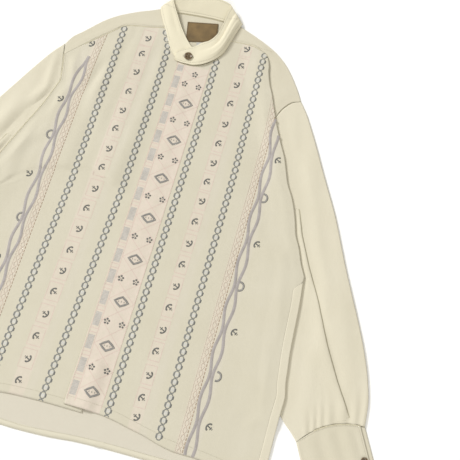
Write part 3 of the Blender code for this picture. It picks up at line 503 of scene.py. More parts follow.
# How far each outer column of a panel lies from the crest of the body's edge, below 0 on the upper sheet.
PLEAT_COLUMNS = (-12.0, -4.0, -2.0, -0.7, 0.7, 2.0, 14.0)
SHORT_COLUMNS = (-12.0, -10.0, -8.0, -6.0, -4.0, -2.0, -0.5)
ARMHOLE_COLUMNS = (-28.0, -23.0, -18.0, -13.5, -9.0, -4.5, -0.2)
SIDE_COLUMNS = (-32.0, -29.0, -26.0, -23.0, -20.0, -17.0, -SEAM_INSET - 0.03)
SEAM_PATH = (  # y, reach of the side seam
    (-300, 14.0), (-316, 6.0), (-322, 2.3), (-328, 0.0), (-334, -2.3), (-339, -6.0),
    (-350, -SEAM_INSET - 0.03))
BACK_FLAT_COLUMNS = (60.0, 42.0, 28.0, 16.0, 12.0, 9.0, 6.0, 4.0, 2.0, 0.3)
BACK_WRAP_COLUMNS = (60.0, 42.0, 28.0, 16.0, 4.0, 2.0, 0.7, -0.7, -2.0, -SEAM_INSET + 0.02)
LAST = len(SIDE_COLUMNS) - 1
BACK_LAST = len(BACK_WRAP_COLUMNS) - 1


def front_reach(side, column, y):
    """reach of a front's outer column at height y"""
    if side < 0:
        above = ARMHOLE_COLUMNS[column]
        return above + (SIDE_COLUMNS[column] - above) * smooth((-300.0 - y) / 50.0)
    short = SHORT_COLUMNS[column]
    pleat = short + (PLEAT_COLUMNS[column] - short) * smooth((16.0 - y) / 44.0)
    spacing = 0.6 + 2.4 * smooth((-334.0 - y) / 40.0)
    return min(pleat, edge_at(SEAM_PATH, y) - (LAST - column) * spacing)


def back_reach(side, column, y):
    """reach of the back's outer column, clear of the front's last one"""
    flat = BACK_FLAT_COLUMNS[column]
    if y > BACK_FOLDS_Y:
        return flat
    wrapped = flat + (BACK_WRAP_COLUMNS[column] - flat) * smooth((-316.0 - y) / 24.0)
    gap = 0.05 + PASSING_GAP * (1 - smooth(abs(y + 328.0) / 14.0))
    return max(wrapped, front_reach(side, LAST, y) + gap + (BACK_LAST - column) * 0.5)


def on_top(side, points, crest):
    """1 on the upper sheet of the body and 0 under it, row by row, with crest the column at the edge"""
    rows = points[:, crest, 1]
    middle = np.array([under_height(side, y) + front_radius(side, y) for y in rows])[:, None]
    return smooth((points[..., 2] - middle) / 0.9)


def make_front(name, side):
    """one front, from the centre out to the armhole or pleat, and to the side seam below"""
    rows = LEFT_FRONT_ROWS if side > 0 else RIGHT_FRONT_ROWS
    top_table = LEFT_FRONT_TOP if side > 0 else RIGHT_FRONT_TOP
    hem_table = LEFT_FRONT_HEM if side > 0 else RIGHT_FRONT_HEM
    flat = len(top_table) - 1

    def outer_point(column, y):
        reach = front_reach(side, column, y)
        radius = front_radius(side, y)
        inward, up = fold_offset(reach, radius)
        x = side * (edge_at(edges(side)[0], y) + inward)
        tilt = 0.36 * smooth((y - 5.0) / 36.0) if side > 0 else smooth((y + 75.0) / 25.0)
        if reach > -math.pi * radius / 2:
            height = crest_height(side, y) - radius + up
        else:
            height = front_base(side, x, y)
        return np.array((x, y - inward * tilt, height))

    def outer(down):
        return outer_point(0, rows[0] + (rows[-1] - rows[0]) * down)[:2]

    def inner(down):
        return np.array(top_table[0]) * (1 - down) + np.array(hem_table[0]) * down

    def top(across):
        return np.array(top_table[round(across * flat)], dtype=float) if across < 1 else outer(0)

    def bottom(across):
        return along(hem_table, across) if across < 1 else outer(1)

    def point(column, row):
        y = rows[row]
        if column > flat:
            return outer_point(column - flat, y)
        down = (y - rows[0]) / (rows[-1] - rows[0])
        x, y = coons(top, bottom, inner, outer, column / flat, down)
        return x, y, front_base(side, x, y)

    def folds(points, columns, places):
        crest = round((len(columns) - 1) * flat / (flat + LAST))
        return front_folds(side, points[..., 0], points[..., 1]) * on_top(side, points, crest)

    finish = printed_left if side > 0 else printed_right
    return cloth(name, point, flat + LAST, len(rows) - 1, (7, 6), finish, folds)


def make_back(name):
    """back panel from the yoke seam to the hem, its sides folded up on to the front up to the side seams"""
    rows = {1: LEFT_BACK_ROWS, -1: RIGHT_BACK_ROWS}
    last_row = len(LEFT_BACK_ROWS) - 1
    stride = 8

    def side_point(side, column, row):
        y = rows[side][row]
        radius = EDGE_RADIUS if y < BACK_FOLDS_Y else 0.0
        inward, up = fold_offset(back_reach(side, column, y), radius)
        x = side * (edge_at(edges(side)[1], y) + inward)
        low = under_height(side, y) if y < BACK_FOLDS_Y else back_height(x, y)
        if inward < -11.0 and up <= 0:
            low = back_height(x, y) - radius - up
        return np.array((x, y, low + radius + up))

    def top(across):
        left, right = side_point(-1, 0, 0), side_point(1, 0, 0)
        return (left * (1 - across) + right * across)[:2]

    def bottom(across):
        left, right = side_point(-1, 0, last_row), side_point(1, 0, last_row)
        hem = along(BACK_HEM, across)
        ends = along(BACK_HEM, 0) * (1 - across) + along(BACK_HEM, 1) * across
        return hem + (left * (1 - across) + right * across)[:2] - ends

    def point(column, row):
        if column <= BACK_LAST:
            return side_point(-1, BACK_LAST - column, row)
        if column >= BACK_LAST + BACK_COLUMNS:
            return side_point(1, column - BACK_LAST - BACK_COLUMNS, row)
        across = (column - BACK_LAST) / BACK_COLUMNS
        down = row / last_row
        left, right = side_point(-1, 0, row), side_point(1, 0, row)
        ends = top(across) * (1 - down) + bottom(across) * down
        corners = ((side_point(-1, 0, 0) * (1 - across) + side_point(1, 0, 0) * across) * (1 - down)
                   + (side_point(-1, 0, last_row) * (1 - across)
                      + side_point(1, 0, last_row) * across) * down)[:2]
        x, y = (left * (1 - across) + right * across)[:2] + ends - corners
        return x, y, back_height(x, y)

    def folds(points, columns, places):
        x, y = points[..., 0], points[..., 1]
        side = np.where(x > 0, 1, -1)
        inside = np.where(x > 0, edge_at(LEFT_BACK_EDGE, y) - x, edge_at(RIGHT_BACK_EDGE, y) + x)
        middle = np.array([[under_height(s, v) + EDGE_RADIUS for s, v in zip(*pair)]
                           for pair in zip(side[:, ::stride], y[:, ::stride])])
        middle = np.repeat(middle, stride, axis=1)[:, :x.shape[1]]
        above = smooth((points[..., 2] - middle) / 0.9) * smooth((-330.0 - y) / 10.0)
        seam = 0.25 * smooth(1.0 - np.abs(inside - 10.0) / 9.0)
        upper = above * (relief(FRONT_CREASES, x, y) * smooth((inside - 1.0) / 14.0) + seam)
        hem = relief(HEM_FOLDS, x, y) + HEM_THICK * smooth((-646.5 - y) / 1.6) * (np.abs(x) < 270)
        lower = np.where(points[..., 2] < middle, np.maximum(hem, -0.3), 0.0)
        return upper + lower * smooth((-560 - y) / 40.0)

    return cloth(name, point, 2 * BACK_LAST + BACK_COLUMNS, last_row, (6, 5), back_cream, folds)


def shoulder_line(table, side, inset, height):
    """one line of the yoke along the fold over a shoulder"""
    points = [(x - side * 0.64 * inset, y - 0.77 * inset) for x, y in table]
    return height, points


def make_yoke(name):
    """yoke from the left front seam, over that shoulder, across the back and over the other shoulder"""
    radius = LAYER / 2
    lines = [(height, points) for _, height, points in YOKE_LINES_LEFT]
    fold = ((radius, ON_BACK), (0.0, ON_FLOOR + radius), (radius, ON_FLOOR + RIM_RISE))
    lines += [shoulder_line(SHOULDER_LEFT, 1, inset, height) for inset, height in fold]
    lines += [(height, points) for _, height, points in YOKE_LINES_BACK]
    lines += [shoulder_line(SHOULDER_RIGHT, -1, inset, height) for inset, height in reversed(fold)]
    lines += [(height, points) for _, height, points in YOKE_LINES_RIGHT]
    last = len(lines) - 1

    def point(column, row):
        height, points = lines[row]
        if len(points) == YOKE_COLUMNS + 1:
            x, y = points[column]
        else:
            x, y = along(points, column / YOKE_COLUMNS)
        return x, y - (0.38 if row in (0, last) else 0.0), height

    def folds(points, columns, places):
        from_left = places[:, None]
        over = smooth((2.6 - from_left) / 1.4) + smooth((from_left - last + 0.9) / 0.7)
        inside = np.minimum(columns, YOKE_COLUMNS - columns)[None, :]
        soft = smooth(np.minimum(from_left, last - from_left) / 0.8) * smooth(inside / 1.5)
        seam = np.exp(-(np.minimum(from_left, last - from_left) / 0.10) ** 2)
        waves = ripple(points[..., 0] * 1.4, points[..., 1] * 1.4, 0.5, 2.0)
        return over * (0.7 * soft + soft * waves) + 0.22 * seam

    return cloth(name, point, YOKE_COLUMNS, last, (9, 7), cream, folds)


def cuff_frame(side):
    """outer and inner end of the cuff seam, and the way the cuff runs"""
    shift = np.array((RIGHT_SLEEVE_SHIFT if side < 0 else 0.0, 0.0))
    outer = np.array(CUFF_OUTER_END) + shift
    inner = np.array(CUFF_INNER_END) + shift
    across = (inner - outer) / np.linalg.norm(inner - outer)
    return outer, inner, np.array((-across[1], across[0]))


def cuff_point(side, away, share):
    """plan of the cuff, away from its seam and at a share of its width from the outer edge"""
    outer, inner, run = cuff_frame(side)
    arch = CUFF_SEAM_ARCH * (1 - 0.3 * away / CUFF_LENGTH) * 4 * share * (1 - share)
    return outer * (1 - share) + inner * share + run * (away - arch)


def cuff_button_place(side):
    """x, y of the middle of a cuff's button"""
    x, y = cuff_point(side, CUFF_BUTTON_AT[0] * CUFF_LENGTH, CUFF_BUTTON_AT[1])
    return side * x, y


def make_sleeve(name, side):
    """flattened tube from the armhole to the cuff seam"""
    armhole = LEFT_ARMHOLE if side > 0 else RIGHT_ARMHOLE
    shift = RIGHT_SLEEVE_SHIFT if side < 0 else 0.0
    outer_table = [(x + shift, y) for x, y in SLEEVE_OUTER]
    inner_table = [armhole[-1]] + [(x, y) for y, x in edges(side)[2] if armhole[-1][1] > y > -600]
    spans = len(armhole) - 1
    away = np.array((0.6, -0.1))
    swell = np.array((2.0, 0.0))
    rim = 0.12

    def plan(share, down):
        swollen = min(down / SLEEVE_ROWS[1], 1.0) * (1 - share ** 12)
        top = along_corners(armhole, share * spans) + away + swell * swollen
        ruled = top * (1 - down) + cuff_point(side, -0.2, share) * down
        outer_bow = (along(outer_table, down) - np.array(outer_table[0]) * (1 - down)
                     - np.array(outer_table[-1]) * down)
        inner_bow = (along(inner_table, down) - np.array(inner_table[0]) * (1 - down)
                     - np.array(inner_table[-1]) * down)
        return ruled + outer_bow * (1 - share) + inner_bow * share ** 12

    def beside_fold(step, down):
        if step < spans:
            return plan(max(step, rim) / spans, down)
        run = along(inner_table, down + 0.02) - along(inner_table, down - 0.02)
        inward = np.array((-run[1], run[0])) / np.linalg.norm(run)
        return plan(1.0, down) + inward * EDGE_RADIUS

    def point(column, row):
        down = SLEEVE_ROWS[row]
        around = column % (2 * spans + 4)
        if around <= spans:
            x, y = beside_fold(around, down)
            height = ON_BACK
        elif spans + 1 < around <= 2 * spans + 2:
            step = 2 * spans + 2 - around
            x, y = beside_fold(step, down)
            height = ON_FLOOR + (RIM_RISE if step in (0, spans) else 0.0)
        else:
            x, y = plan(1.0 if around == spans + 1 else 0.0, down)
            height = (ON_FLOOR + ON_BACK) / 2
        return side * x, y, height

    def folds(points, columns, places):
        x, y = side * points[..., 0], points[..., 1]
        down = np.interp(places, range(len(SLEEVE_ROWS)), SLEEVE_ROWS)[:, None]
        beyond = x - edge_at(edges(side)[0], y)
        clear = smooth((beyond - BESIDE_BODY) / 28.0)
        if side < 0:
            near_seam = smooth((-280.0 - y) / 30.0)
            clear = clear * near_seam + smooth((beyond - 1.0) / 13.0) * (1 - near_seam)
        clear = clear * smooth(down / 0.07)
        low, high = ON_FLOOR + RIM_RISE, ON_BACK
        upper = smooth((points[..., 2] - low) / (high - low))
        slow = ripple(x, y, 0.6, 3.0 + side) + ripple(1.5 * x + 0.6 * y, 0.3 * y - 0.3 * x, 1.1, 1.0)
        puff = np.maximum(PUFF + relief(SLEEVE_FOLDS, x, y) + slow, 0.0)
        share = np.clip(columns, 0, spans)[None, :] / spans
        gathers = pressed(SLEEVE_PLEAT, x, y, 2.3, 15.0) * smooth((beyond - 1.0) / 8.0)
        if side < 0:
            creases = ARMHOLE_CREASES_TALLER * relief(ARMHOLE_CREASES, -x, y)
            gathers = gathers + creases * smooth((beyond + 1.0) / 7.0)
        pinch = 0.5 * np.sin(share * 44.0 + 1.5 * np.sin(share * 9.0)) * smooth((down - 0.86) / 0.12)
        lifted = clear * puff + gathers + pinch * smooth((0.98 - share) / 0.1) * clear
        return upper * np.maximum(lifted, 0.0)

    # distance from the pleat's line, which the sleeve's finish turns into painted shade
    def crease(points):
        away, share = beside(SLEEVE_PLEAT, side * points[..., 0], points[..., 1])
        ends = smooth(share / 0.05) * smooth((1.0 - share) / 0.03) * (points[..., 2] > 1.4)
        return np.where(ends > 0.2, away - 0.3, 9.0)

    def weave(columns, places):
        down = np.interp(places, range(len(SLEEVE_ROWS)), SLEEVE_ROWS)
        around = columns * SLEEVE_ROUND / (2 * spans + 4)
        taper = 1.0 - SLEEVE_TAPER * down[:, None]
        lengths = np.repeat(down[:, None] * SLEEVE_LENGTH, len(columns), axis=1)
        return np.stack((around[None, :] * taper, lengths), axis=2)

    return cloth(name, point, 2 * spans + 4, len(SLEEVE_ROWS) - 1, (12, 9), sleeve_cream, folds, closed=True,
                 twill=weave, crease=crease)


def make_cuff(name, side):
    """cuff wrapped round flat: free edge on top, inner fold, under side, outer fold and underlap"""
    outer, inner, _ = cuff_frame(side)
    width = float(np.linalg.norm(inner - outer))
    top, low, lap = OVER_SLEEVE, ON_FLOOR, ON_BACK
    section = (  # distance from the outer edge, height
        (6.0, top), (14.0, top + 0.1), (24.0, top), (0.38 * width, top - 0.1), (0.55 * width, top - 0.15),
        (0.75 * width, top - 0.2), (width - 2.6, top - 0.45), (width - 0.8, top - 0.9), (width, 1.72),
        (width - 0.8, 0.95), (width - 2.6, low), (0.75 * width, low), (0.5 * width, low),
        (0.25 * width, low), (1.6, low), (0.4, 0.85), (0.0, 1.25), (0.4, 1.65), (1.6, lap), (12.0, lap),
        (CUFF_UNDERLAP, lap))
    rows = (0.3, 12.0, 32.0, 52.0, CUFF_LENGTH)

    def point(column, row):
        distance, height = section[column]
        x, y = cuff_point(side, rows[row], distance / width)
        return side * x, y, height

    def folds(points, columns, places):
        away = np.interp(places, range(len(rows)), rows)[:, None]
        distance = np.interp(columns, range(len(section)), [place for place, _ in section])[None, :]
        upper = smooth((7.2 - columns) / 1.4)[None, :]
        edge = np.minimum(np.minimum(away, CUFF_LENGTH - away), np.maximum(distance - 6.0, 0.0))
        stitched = 0.12 * np.exp(-((edge - 3.2) / 1.5) ** 2)
        rolls = 0.55 * np.sin((distance + 0.06 * away) * 2 * math.pi / 27.0 + 0.8) * smooth(edge / 14.0)
        soft = ripple(points[..., 0] * 1.6, points[..., 1] * 1.6, 0.3, 5.0) * smooth(edge / 12.0)
        return upper * (rolls + soft - stitched + 0.1)

    outer_end, inner_end = cuff_frame(side)[:2]
    turn = math.atan2(inner_end[1] - outer_end[1], side * (inner_end[0] - outer_end[0]))
    return cloth(name, point, len(section) - 1, len(rows) - 1, (6, 16), cream, folds, grain=turn)


def make_band(name):
    """collar band, an open strip from the buttoned end round the neck to the end underneath"""
    def point(column, row):
        neck_x, neck_y, neck_z, free_x, free_y, free_z, roll = BAND_SECTIONS[column]
        share = row / BAND_STEPS
        height = neck_z * (1 - share) + free_z * share
        height += roll * math.sin(math.pi * min(share / BAND_CREASE, 1))
        return neck_x * (1 - share) + free_x * share, neck_y * (1 - share) + free_y * share, height

    def folds(points, columns, places):
        share = (places / BAND_STEPS)[:, None]
        ends = smooth(np.minimum(columns, len(BAND_SECTIONS) - 1 - columns) / 1.5)[None, :]
        edge = np.minimum(share, 1 - share)
        stitched = -0.16 * np.exp(-((edge - 0.09) / 0.028) ** 2)
        creases = 0.25 * np.sin(columns * 2.1)[None, :] * np.sin(share * 7.0) * ends
        bent = (smooth((columns - 4.0) / 3.0) * smooth((12.5 - columns) / 2.0))[None, :]
        for middle, depth in ((0.34, 0.8), (0.63, 0.6)):
            creases = creases - bent * depth * np.exp(-((share - middle) / 0.06) ** 2)
        return stitched + creases * smooth(edge / 0.2)

    def weave(columns, places):
        reach = np.interp(columns, range(len(BAND_SECTIONS)), band_reach())
        width = places / BAND_STEPS * BAND_WIDTH
        return np.stack(np.broadcast_arrays(reach[None, :], width[:, None]), axis=2)

    return cloth(name, point, len(BAND_SECTIONS) - 1, BAND_STEPS, (8, 8), band_cream_lit, folds, wall=BAND_WALL,
                 twill=weave)


def band_reach():
    """distance of each section of the band along its neck edge"""
    necks = np.array([row[:2] for row in BAND_SECTIONS], dtype=float)
    return np.concatenate(([0.0], np.cumsum(np.linalg.norm(np.diff(necks, axis=0), axis=1))))


def on_slant(centre, across, up):
    """x, y of a spot of the tapes at the neck, which lie turned with the label"""
    return (centre[0] + across * math.cos(LABEL_TURN) - up * math.sin(LABEL_TURN),
            centre[1] + across * math.sin(LABEL_TURN) + up * math.cos(LABEL_TURN))


def make_tag(name, size, centre, height, finish, steps):
    """flat rectangle of woven tape at the back of the neck, its two cut ends turned under"""
    def point(column, row):
        return *on_slant(centre, (column - 0.5) * size[0], (0.5 - row) * size[1]), height

    def folds(points, columns, places):
        edge = np.minimum(np.minimum(columns, 1 - columns)[None, :] * size[0],
                          np.minimum(places, 1 - places)[:, None] * size[1])
        return 0.12 * smooth(edge / 4.0) - 0.1 * np.exp(-((edge - 1.3) / 0.4) ** 2)

    def weave(columns, places):
        wide, tall = columns * size[0], places * size[1]
        return np.stack(np.broadcast_arrays(wide[None, :], tall[:, None]), axis=2)

    return cloth(name, point, 1, 1, steps, finish, folds, wall=LABEL_WALL, twill=weave)


def make_button(name, width, centre, height):
    """turned four-hole button: thick rim, sunk face and domed back, with its holes cut through"""
    radius = width / 2
    thick = 0.17 * width
    profile = (  # share of the radius, share of the thickness
        (0.0, 0.0), (0.5, 0.0), (0.72, 0.02), (0.86, 0.12), (0.95, 0.28), (0.99, 0.42), (1.0, 0.56),
        (0.985, 0.72), (0.95, 0.86), (0.89, 0.96), (0.82, 1.0), (0.76, 0.98), (0.70, 0.9), (0.64, 0.76),
        (0.58, 0.68), (0.5, 0.645), (0.3, 0.63), (0.0, 0.62))
    shape = bmesh.new()
    points = [shape.verts.new((share * radius * MM, 0.0, up * thick * MM)) for share, up in profile]
    lines = [shape.edges.new(pair) for pair in zip(points, points[1:])]
    bmesh.ops.spin(shape, geom=points + lines, cent=(0, 0, 0), axis=(0, 0, 1), angle=2 * math.pi, steps=56,
                   use_merge=True)
    bmesh.ops.remove_doubles(shape, verts=shape.verts, dist=0.00001)
    bmesh.ops.recalc_face_normals(shape, faces=shape.faces)
    seat = place((*centre, height))
    bmesh.ops.translate(shape, verts=shape.verts, vec=seat)
    mesh = bpy.data.meshes.new(name)
    shape.to_mesh(mesh)
    shape.free()
    item = finish_piece(name, mesh, horn)
    for turn in range(4):
        angle = math.pi / 4 + turn * math.pi / 2
        drill = bmesh.new()
        bmesh.ops.create_cone(drill, cap_ends=True, segments=20, radius1=0.085 * width * MM,
                              radius2=0.085 * width * MM, depth=4 * thick * MM)
        hole = (0.2 * width * MM * math.cos(angle), 0.2 * width * MM * math.sin(angle), 0.0)
        bmesh.ops.translate(drill, verts=drill.verts, vec=Vector(seat) + Vector(hole))
        bit = bpy.data.meshes.new(f"{name}_bit_{turn}")
        drill.to_mesh(bit)
        drill.free()
        cutter = bpy.data.objects.new(f"{name}_bit_{turn}", bit)
        bpy.context.scene.collection.objects.link(cutter)
        cut = item.modifiers.new("hole", "BOOLEAN")
        cut.object = cutter
        cut.operation = "DIFFERENCE"
        cut.solver = "EXACT"
        bpy.context.view_layer.update()
        bored = bpy.data.meshes.new_from_object(item.evaluated_get(bpy.context.evaluated_depsgraph_get()))
        item.modifiers.remove(cut)
        item.data = bored
        bpy.data.objects.remove(cutter, do_unlink=True)
    item.data.shade_smooth()
    return item


# Embroidery. Rows run y, x down the middle of a band of stitching.
CHAINS = (
    ((38, -51.5), (29, -47.5), (14, -40.5), (0, -38.0), (-100, -35.5), (-250, -35.5), (-612, -50.0)),
    ((0, 48.0), (-60, 50.0), (-130, 53.0), (-608, 52.0)),
    ((35, -122.0), (-100, -119.5), (-260, -119.5), (-537, -131.0), (-620, -134.0)),
    ((17, 124.0), (-150, 130.0), (-180, 131.5), (-300, 132.5), (-625, 136.0)))
CHAIN_STARTS = (36.0, 4.0, 24.0, 36.0)
LINK_PITCH = 11.9
LINK_HALVES = (3.7, 5.35)   # half the width and height of a link, to the middle of its thread
ANCHORS_LEFT = ((42, 91), (-103, 93), (-600, 95))      # y, x of the column on the wearer's left
ANCHORS_RIGHT = ((17, -77), (-250, -78), (-600, -92))
LEFT_ANCHOR_ROWS = (42, 8, -28, -65, -103, -140, -175, -210, -244, -281, -318, -355, -391, -427, -463, -498,
                    -535, -571, -600)
RIGHT_ANCHOR_ROWS = (17, -15, -50, -89, -125, -160, -197, -232, -269, -305, -341, -379, -414, -450, -487,
                     -524, -560, -595)
BLOCK_ROWS = (-23, -50, -85, -119, -154, -188, -224, -259, -295, -330, -367, -402, -438, -473, -510, -547,
              -583)
BAR_PITCH = 2.48
LOZENGE = ((1, 0), (0.55, 0.5), (0, 1), (-0.55, 0.5), (-1, 0), (-0.55, -0.5), (0, -1), (0.55, -0.5))
BRAID_LEFT = ((-20, 160.0), (-100, 166.0), (-600, 170.0))
BRAID_RIGHT = ((20, -152.0), (-120, -157.0), (-600, -160.0))
ROPE_LEFT = ((-40, 172.0), (-139, 181.0), (-365, 184.0), (-620, 186.0))
ROPE_RIGHT = ((-43, -163.0), (-125, -171.0), (-350, -173.0), (-620, -176.0))
ROPE_KNOTS_LEFT = (-64, -139, -213, -288, -365, -438, -510, -584)
ROPE_KNOTS_RIGHT = (-52, -125, -195, -270, -347, -420, -492, -566)
KNOT_PITCH = 75.0
BRAIDS = ((BRAID_LEFT, -16.0), (BRAID_RIGHT, 10.0))     # with the y where each starts
BRAID_SWAY = 2.9            # how far each strand swings off the middle
CROSSING_PITCH = 11.0       # from one crossing of the strands to the next
ROPES = (  # its middle, its knots and the y where it starts
    (ROPE_LEFT, ROPE_KNOTS_LEFT, -44.0), (ROPE_RIGHT, ROPE_KNOTS_RIGHT, -43.0))
BANDS_END = -640.0          # the cloth ends before this
LAST_LINK = -628
ANCHOR_LEAN = math.radians(-28.0)
ANCHORS_OUTSIDE = (  # x, y, way that the crown points: beside the ropes
    (195, -145, -1), (199, -292, -1), (202, -438, -1), (204, -586, -1), (-167, -18, 1), (-184, -132, 1),
    (-190, -272, 1), (-191, -420, 1), (-193, -566, 1))
HALF_RINGS = (  # x, y, degrees where each starts
    (188, -213, -100.0), (190, -365, -100.0), (194, -510, -100.0), (-178, -198, 80.0), (-177, -347, 80.0),
    (-180, -492, 80.0))
PANEL_MIDDLE = 20.2         # x of the lozenges
PANEL_LATTICE = (0, 40)     # x at the two ends of the crossed lines
LOZENGE_HALVES = (11.5, 8.2)
FRONT_SPLIT = -15.5         # a motif with its middle beyond this x is on the wearer's left front


def line_at(table, y):
    """x of a band's middle at heights y"""
    return np.interp(-np.asarray(y, dtype=float), [-row[0] for row in table], [row[1] for row in table])


def ring(x, y, wide, tall, steps=14, start=0.0, sweep=360.0):
    """points round an oval, or along a part of it, in degrees anticlockwise from its right"""
    count = steps if sweep == 360.0 else steps + 1
    angles = np.radians(start + sweep * np.arange(count) / steps)
    return np.column_stack((x + wide * np.cos(angles), y + tall * np.sin(angles)))


def link_ring(x, y, wide, tall):
    """points round a link, an oval with fuller sides"""
    around = ring(0.0, 0.0, 1.0, 1.0, 12)
    full = np.sign(around) * np.abs(around) ** np.array((0.72, 0.86))
    return full * np.array((wide, tall)) + np.array((x, y))


def stroke(points, width, closed=False):
    """one run of thread: its points, its width and whether it closes"""
    return np.array(points, dtype=float), width, closed


def chain_strokes():
    """oval links down four bands, the heavier stitches down their sides and the pale filling"""
    links, dark, pale, filling = [], [], [], []
    for table, start in zip(CHAINS, CHAIN_STARTS):
        y = start
        while y > LAST_LINK:
            x = float(line_at(table, y))
            links.append(stroke(link_ring(x, y, *LINK_HALVES), 1.7, True))
            filling.append(stroke([(x, y + 2.7), (x, y), (x, y - 2.7)], 5.0))
            dark.append(stroke([(x + 4.4, y + 2.6), (x + 4.6, y), (x + 4.4, y - 2.6)], 2.4))
            pale.append(stroke([(x - 4.4, y + 3.2), (x - 4.7, y), (x - 4.4, y - 3.2)], 1.9))
            y -= LINK_PITCH
    return links, dark, pale, filling


def anchor_strokes(x, y, way):
    """small anchor leaning on its side: crown towards way, ring at the other end of its shank"""
    arms = [(a - 1.2, b) for a, b in ring(0.0, 0.0, 5.6, 6.2, 8, -66.0, 132.0)]
    barbs = [[(arms[end][0] + 0.8, arms[end][1]), (arms[end][0] - 1.2, arms[end][1] + rise)]
             for end, rise in ((0, 0.9), (-1, -0.9))]
    parts = [(arms, 2.2), ([(4.0, 0.0), (1.0, 0.0), (-3.6, 0.0)], 1.8), ([(-2.6, -2.6), (-2.6, 2.6)], 1.4),
             ([(-4.6, 0.0), (-5.4, 0.0)], 2.4), (barbs[0], 2.6), (barbs[1], 2.6)]
    cos, sin = math.cos(ANCHOR_LEAN), math.sin(ANCHOR_LEAN)
    lean = way * np.array(((cos, -sin), (sin, cos)))
    return [stroke(np.array(line) @ lean.T + (x, y), width) for line, width in parts]


def anchors():
    """both columns of anchors and those beside the ropes"""
    found = []
    for table, rows in ((ANCHORS_LEFT, LEFT_ANCHOR_ROWS), (ANCHORS_RIGHT, RIGHT_ANCHOR_ROWS)):
        for index, y in enumerate(rows):
            found += anchor_strokes(float(line_at(table, y)), y, -1 if index % 2 else 1)
    for x, y, way in ANCHORS_OUTSIDE:
        found += anchor_strokes(x, y, way)
    return found


def rosette_strokes(x, y):
    """round rosette: five petals about a dot"""
    petals = [stroke(ring(px, py, 1.0, 1.0, 6), 1.6, True) for px, py in ring(x, y, 3.5, 3.7, 5, 90.0)]
    return petals + [stroke([(x - 0.4, y), (x + 0.4, y)], 1.8)]


def centre_strokes():
    """motifs of the middle panel: rosettes, in pairs below the first, and lozenges with a row of dots"""
    dark, light = [], []
    for index, y in enumerate(BLOCK_ROWS):
        if index % 2:
            dark += rosette_strokes(8.0, y) + rosette_strokes(32.0, y)
        elif index:
            for inset, wide in ((0.0, 2.6), (2.6, 1.2)):
                half_wide, half_tall = LOZENGE_HALVES[0] - inset, LOZENGE_HALVES[1] - 0.7 * inset
                corners = [(PANEL_MIDDLE + a * half_wide, y + b * half_tall) for a, b in LOZENGE]
                light.append(stroke(corners, wide, True))
            for a in (-4.4, 0.0, 4.4):
                dark.append(stroke([(PANEL_MIDDLE + a - 0.4, y), (PANEL_MIDDLE + a + 0.4, y)], 2.2))
        else:
            dark += rosette_strokes(20.0, y - 6)
    return dark, light


def block_strokes():
    """blocks of close bars between the fly's edge and the middle panel"""
    found = []
    for index, y in enumerate(BLOCK_ROWS):
        rows = 5 if index == 0 else 9
        for step in range(rows):
            height = y + ((rows - 1) / 2 - step) * BAR_PITCH
            found.append(stroke([(-12.4, height), (-7.6, height), (-2.6, height)], 2.1))
    return found


def braid_strokes():
    """flat braid of two crossing strands and a straight cord along one edge"""
    found = []
    for table, top in BRAIDS:
        y = np.arange(top, BANDS_END, -2.0)
        middle = line_at(table, y)
        for phase in (0.0, math.pi):
            sway = BRAID_SWAY * np.sin(y * math.pi / CROSSING_PITCH + phase)
            found.append(stroke(np.column_stack((middle + sway, y)), 1.2))
        found.append(stroke(np.column_stack((middle - 5.4, y)), 0.8))
    return found


def braid_edge_strokes():
    """brown running stitches down one edge of each braid"""
    found = []
    for table, top in BRAIDS:
        for start in np.arange(top, BANDS_END + 8.0, -6.0):
            y = np.array((start, start - 2.0, start - 4.2))
            found.append(stroke(np.column_stack((line_at(table, y) + 5.6, y)), 1.5))
    return found


def rope_strokes():
    """two thick strands that part and cross at each knot"""
    found = []
    for table, knots, top in ROPES:
        y = np.arange(top, BANDS_END, -2.5)
        middle = line_at(table, y)
        turns = np.interp(-y, [-knot for knot in knots], range(len(knots)))
        turns = turns + np.minimum((knots[0] - y) / KNOT_PITCH, 0.0)
        turns = turns + np.maximum((knots[-1] - y) / KNOT_PITCH, 0.0)
        apart = (2.3 + 4.5 * np.sin(math.pi * turns) ** 2) * np.clip((top - y) / 26.0, 0.12, 1.0)
        for side in (-1, 1):
            found.append(stroke(np.column_stack((middle + side * apart, y)), 4.6))
    return found


def half_ring_strokes():
    """half rings beside the ropes"""
    return [stroke(ring(x, y, 6.4, 7.0, 10, start, 200.0), 3.2) for x, y, start in HALF_RINGS]


def pink_strokes():
    """thin pink lines: lattice of the middle panel, its edges and frames round the anchors"""
    found = []
    y = np.arange(-6.0, -606.0, -4.0)
    for x in (-13.8, -0.6, 40.6):
        found.append(stroke(np.column_stack((np.full(len(y), x), y)), 0.8))
    for top, low in zip(BLOCK_ROWS, BLOCK_ROWS[1:]):
        for height in ((top + low) / 2 + 3.2, (top + low) / 2 - 3.2):
            found.append(stroke([(-13.4, height), (-1.6, height)], 0.8))
        for ends in (PANEL_LATTICE, PANEL_LATTICE[::-1]):
            found.append(stroke(np.column_stack((np.linspace(*ends, 12), np.linspace(top, low, 12))), 0.6))
    frames = ((LEFT_ANCHOR_ROWS, ANCHORS_LEFT, 9.0), (RIGHT_ANCHOR_ROWS, ANCHORS_RIGHT, 11.0))
    for rows, table, wide in frames:
        for row in rows[:-1]:
            x = float(line_at(table, row))
            top, low = row + 15.0, row - 15.0
            corners = [(x - wide, top), (x - wide, row), (x - wide, low), (x, low), (x + wide, low),
                       (x + wide, row), (x + wide, top), (x, top)]
            found.append(stroke(corners, 0.75, True))
    return found


